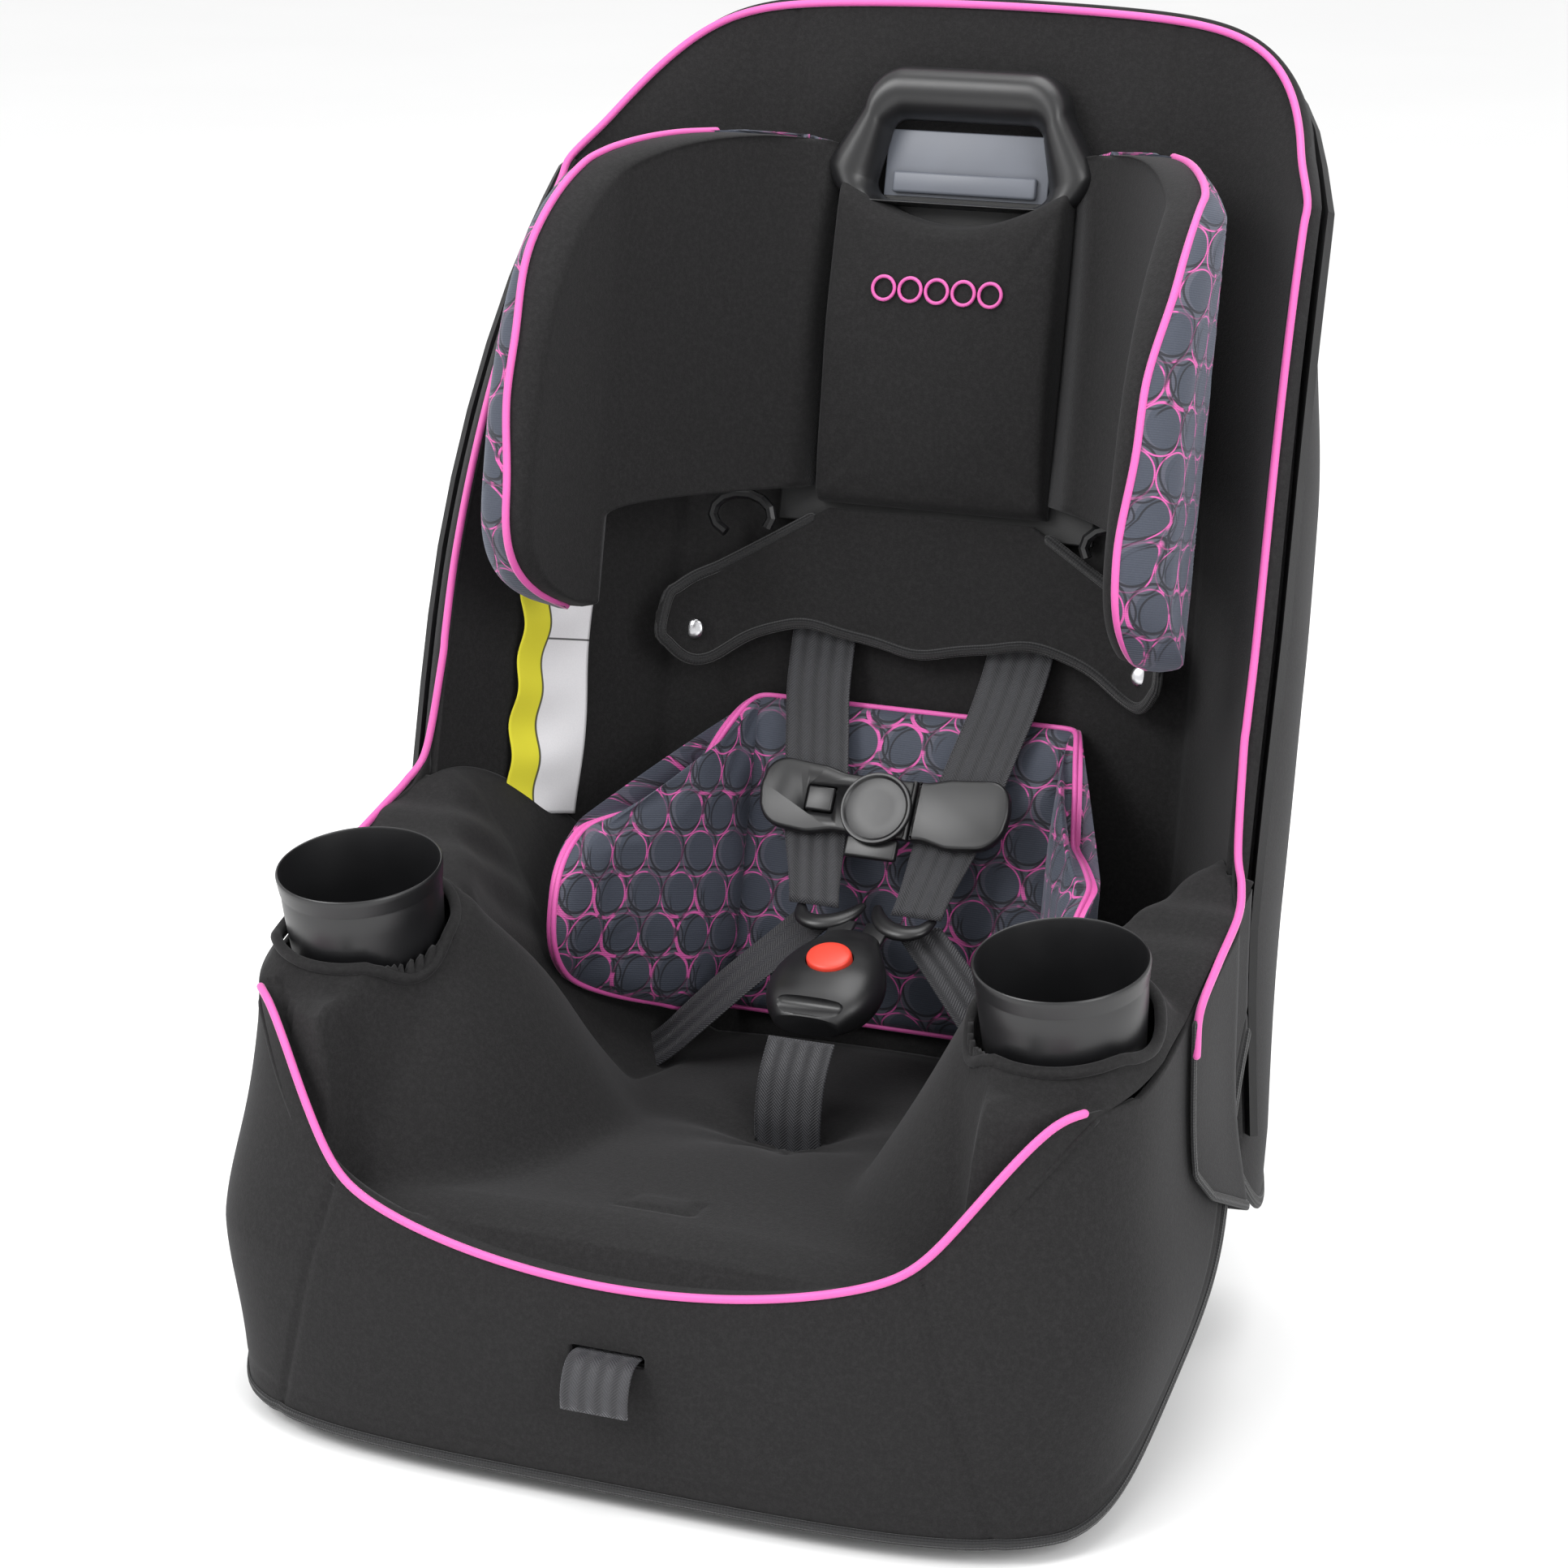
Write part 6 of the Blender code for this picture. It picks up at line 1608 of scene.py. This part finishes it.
def build_buckle():
    along = np.concatenate([[0.0, 0.0008, 0.0025], np.linspace(0.005, 0.066, 26), [0.0695, 0.0712, 0.0720]])
    wide = np.interp(along, (0.0, 0.0025, 0.010, 0.022, 0.036, 0.050, 0.062, 0.0695, 0.0720),
                     (0.0170, 0.0210, 0.0275, 0.0316, 0.0320, 0.0275, 0.0205, 0.0165, 0.0140))
    deep = np.interp(along, (0.0, 0.0025, 0.012, 0.030, 0.050, 0.064, 0.0720),
                     (0.0060, 0.0085, 0.0128, 0.0148, 0.0130, 0.0098, 0.0068))
    wide, deep = (np.convolve(np.pad(row, 2, mode="edge"), np.ones(5) / 5, "valid") for row in (wide, deep))
    turn = np.linspace(0.0, 2 * math.pi, 72, endpoint=False)
    c, s = np.cos(turn), np.sin(turn)
    shape_x = np.sign(c) * np.abs(c) ** 0.72
    shape_n = np.sign(s) * np.abs(s) ** 0.80
    rings = [buckle_point(half * shape_x, np.full_like(turn, at), depth * shape_n)
             for at, half, depth in zip(along, wide, deep)]
    body = loft("buckle_body", rings, finish(smooth_plastic))
    hole = turned("cutter", [(0.0134, 0.0045), (0.0134, 0.0300)], buckle_place(0.0, 0.0400, 0.0),
                  finish(smooth_plastic), 64, (1.0, 0.88))
    carve(body, hole)
    collar_hole = block("cutter", (0.0405, 0.0130, 0.0120), buckle_place(0.0, 0.0040, 0.0130),
                        finish(smooth_plastic), 0.004)
    carve(body, collar_hole)
    body.data.set_sharp_from_angle(angle=math.radians(42))
    settle(body, "buckle", "gloss_plastic", "buckle_front_cover", "buckle_rear_cover")
    dome = [(0.0001, 0.0085), (0.0126, 0.0085), (0.0126, 0.0150), (0.0122, 0.0160), (0.0112, 0.0166),
            (0.0080, 0.0171), (0.0040, 0.0173), (0.0001, 0.0174)]
    button = turned("buckle_push", dome, buckle_place(0.0, 0.0400, 0.0), finish(red_plastic), 96, (1.0, 0.88))
    button.data.set_sharp_from_angle(angle=math.radians(50))
    settle(button, "buckle_button", "red_plastic", "buckle_button")
    for side, word in SIDES:
        path = spline([(0.0045, 0.0985), (0.0085, 0.0905), (0.0160, 0.0835), (0.0260, 0.0810),
                       (0.0345, 0.0845), (0.0385, 0.0930)], 0.002)
        route = buckle_point(side * path[:, 0], path[:, 1], 0.0015)
        share = np.linspace(0.0, 1.0, len(route))
        radius = 0.0026 + 0.0030 * np.sin(math.pi * share) ** 0.8
        hook = tube("tongue_hook_" + word, route, radius, finish(smooth_plastic), 18, 0.62, BUCKLE_FACE)
        settle(hook, "seat", "gloss_plastic", "tongue_" + word)
        blade = block("tongue_blade_" + word, (0.0140, 0.0240, 0.0026),
                      buckle_place(side * 0.0100, 0.0740, 0.0006), finish(smooth_plastic), 0.0010)
        settle(blade, "seat", "gloss_plastic")


def build_tag():
    foot, front_end = 0.126, 0.098
    t, depth = np.meshgrid(np.linspace(foot, 0.252, 60), np.linspace(0.052, front_end, 30), indexing="ij")
    wall = (depth / rim_depth(t)) ** (1 / WALL_CURVE)
    u = BACK_FLAT + (1.0 - BACK_FLAT) * wall
    wave = 0.0016 * np.sin(t * 170.0) * smooth((depth - 0.05) / 0.03)
    wave += 0.0012 * np.sin(t * 61.0 + depth * 70.0)
    place = back_point(-(u * half_width(t) - 0.0042 - wave), t, depth + 0.001)
    chart = np.stack([front_end - depth, t - foot], -1)
    tag = slab("sewn_tag", place, place - RIGHT * 0.0005, finish(tag_cloth), chart=chart)
    settle(tag, "seat", "tag_cloth", "care_tag")


# ---------------------------------------------------------------- shown frame pieces and stage

HARD_FINISHES = (
    (("shell_bolt", "buckle_latch", "crotch_anchor", "adjuster_pin", "splitter_plate", "recline_pin"),
     bright_steel),
    (("adjuster_lever",), grey_plastic),
    (("belt_guide", "handle"), smooth_plastic),
    (("",), grained_plastic),
)


def finish_hard_parts():
    for name, node in frame["nodes"].items():
        maker = next(maker for starts, maker in HARD_FINISHES if name.startswith(starts))
        node.data.materials.clear()
        node.data.materials.append(finish(maker))


def aim(thing, place, target):
    """Stands a light or camera at a place, facing a target."""
    thing.location = place
    thing.rotation_euler = (Vector(target) - Vector(place)).to_track_quat("-Z", "Y").to_euler()


def area_light(name, place, size, watts):
    data = bpy.data.lights.new(name, "AREA")
    data.shape = "RECTANGLE"
    data.size, data.size_y = size
    data.energy = watts
    aim(link(name, data), place, (0.0, 0.0, 0.3))


def build_stage():
    scene = bpy.context.scene
    world = bpy.data.worlds.new("studio")
    scene.world = world
    world.use_nodes = True
    sky = world.node_tree.nodes["Background"]
    sky.inputs["Color"].default_value = (1.0, 1.0, 1.0, 1.0)
    sky.inputs["Strength"].default_value = 1.0
    mesh = bpy.data.meshes.new("floor")
    mesh.from_pydata([(-12, -12, 0), (12, -12, 0), (12, 12, 0), (-12, 12, 0)], [], [(0, 1, 2, 3)])
    mesh.materials.append(finish(floor_paint))
    link("floor", mesh)
    area_light("key", (-1.6, -2.2, 2.6), (1.6, 1.6), 70.0)
    area_light("fill", (2.4, -1.6, 1.6), (1.4, 1.8), 40.0)
    area_light("top", (0.2, 0.4, 3.0), (2.0, 2.0), 45.0)
    data = bpy.data.cameras.new("camera")
    data.lens = 93.17
    data.sensor_width = 36.0
    camera = link("camera", data)
    aim(camera, (0.771, -1.873, 0.917), (-0.013, 0.0, 0.299))
    scene.camera = camera
    scene.view_settings.view_transform = "Standard"
    scene.view_settings.look = "None"


# ---------------------------------------------------------------- add-on

class SeatPieces:
    """Shared by the operators: each runs its builders."""

    bl_options = {"REGISTER", "UNDO"}
    builders = ()

    def execute(self, context):
        for builder in self.builders:
            builder()
        return {"FINISHED"}


class SEAT_OT_back_covers(SeatPieces, bpy.types.Operator):
    """Make the back's inner cover, outer wraps and rim piping"""

    bl_idname = "seat.back_covers"
    bl_label = "Back Covers"
    builders = (build_back_cover, build_side_wraps, build_side_aprons, build_top_wrap, build_rim_piping)


class SEAT_OT_seat_covers(SeatPieces, bpy.types.Operator):
    """Make the seat cover with its arms, and the skirt"""

    bl_idname = "seat.seat_covers"
    bl_label = "Seat Covers"
    builders = (build_skirt, build_seat_cover)


class SEAT_OT_cups(SeatPieces, bpy.types.Operator):
    """Make the two cup holders"""

    bl_idname = "seat.cups"
    bl_label = "Cup Holders"
    builders = (build_cups,)


class SEAT_OT_lumbar_pad(SeatPieces, bpy.types.Operator):
    """Make the padded lumbar insert"""

    bl_idname = "seat.lumbar_pad"
    bl_label = "Lumbar Pad"
    builders = (build_lumbar_pad,)


class SEAT_OT_headrest(SeatPieces, bpy.types.Operator):
    """Make the head pad, wings, lower flap and handle"""

    bl_idname = "seat.headrest"
    bl_label = "Headrest"
    builders = (build_head_pad, build_wings, build_flap, build_handle)


class SEAT_OT_webbing(SeatPieces, bpy.types.Operator):
    """Make the shoulder, lap, crotch and adjuster webbing"""

    bl_idname = "seat.webbing"
    bl_label = "Webbing"
    builders = (build_shoulder_straps, build_lap_straps, build_crotch_strap, build_adjuster_strap)


class SEAT_OT_chest_clip(SeatPieces, bpy.types.Operator):
    """Make the chest clip"""

    bl_idname = "seat.chest_clip"
    bl_label = "Chest Clip"
    builders = (build_chest_clip,)


class SEAT_OT_buckle(SeatPieces, bpy.types.Operator):
    """Make the buckle, its button and tongues"""

    bl_idname = "seat.buckle"
    bl_label = "Buckle"
    builders = (build_buckle,)


class SEAT_OT_tag(SeatPieces, bpy.types.Operator):
    """Make the plain sewn-in tag"""

    bl_idname = "seat.tag"
    bl_label = "Tag"
    builders = (build_tag,)


class SEAT_OT_hard_parts(SeatPieces, bpy.types.Operator):
    """Give the frame's plastic and metal pieces their finishes"""

    bl_idname = "seat.hard_parts"
    bl_label = "Hard Parts"
    builders = (finish_hard_parts,)


class SEAT_OT_stage(SeatPieces, bpy.types.Operator):
    """Set the floor, lights and camera"""

    bl_idname = "seat.stage"
    bl_label = "Stage"
    builders = (build_stage,)


OPERATORS = (SEAT_OT_back_covers, SEAT_OT_seat_covers, SEAT_OT_cups, SEAT_OT_lumbar_pad,
             SEAT_OT_headrest, SEAT_OT_webbing, SEAT_OT_chest_clip, SEAT_OT_buckle, SEAT_OT_tag,
             SEAT_OT_hard_parts, SEAT_OT_stage)


class SEAT_PT_sidebar(bpy.types.Panel):
    """Sizes, colours and builders of the seat"""

    bl_idname = "SEAT_PT_sidebar"
    bl_label = "Child Seat"
    bl_space_type = "VIEW_3D"
    bl_region_type = "UI"
    bl_category = "Child Seat"

    def draw(self, context):
        for operator in OPERATORS:
            self.layout.operator(operator.bl_idname)
        for group in (context.scene.seat_sizes, context.scene.seat_colours):
            for name in type(group).__annotations__:
                self.layout.prop(group, name)


CLASSES = (SeatSizes, SeatColours, *OPERATORS, SEAT_PT_sidebar)


def register():
    for item in CLASSES:
        bpy.utils.register_class(item)
    bpy.types.Scene.seat_sizes = bpy.props.PointerProperty(type=SeatSizes)
    bpy.types.Scene.seat_colours = bpy.props.PointerProperty(type=SeatColours)


def unregister():
    del bpy.types.Scene.seat_sizes
    del bpy.types.Scene.seat_colours
    for item in reversed(CLASSES):
        bpy.utils.unregister_class(item)


def main():
    register()
    for operator in OPERATORS:
        getattr(bpy.ops.seat, operator.bl_idname.split(".")[1])()


if __name__ == "__main__":
    main()
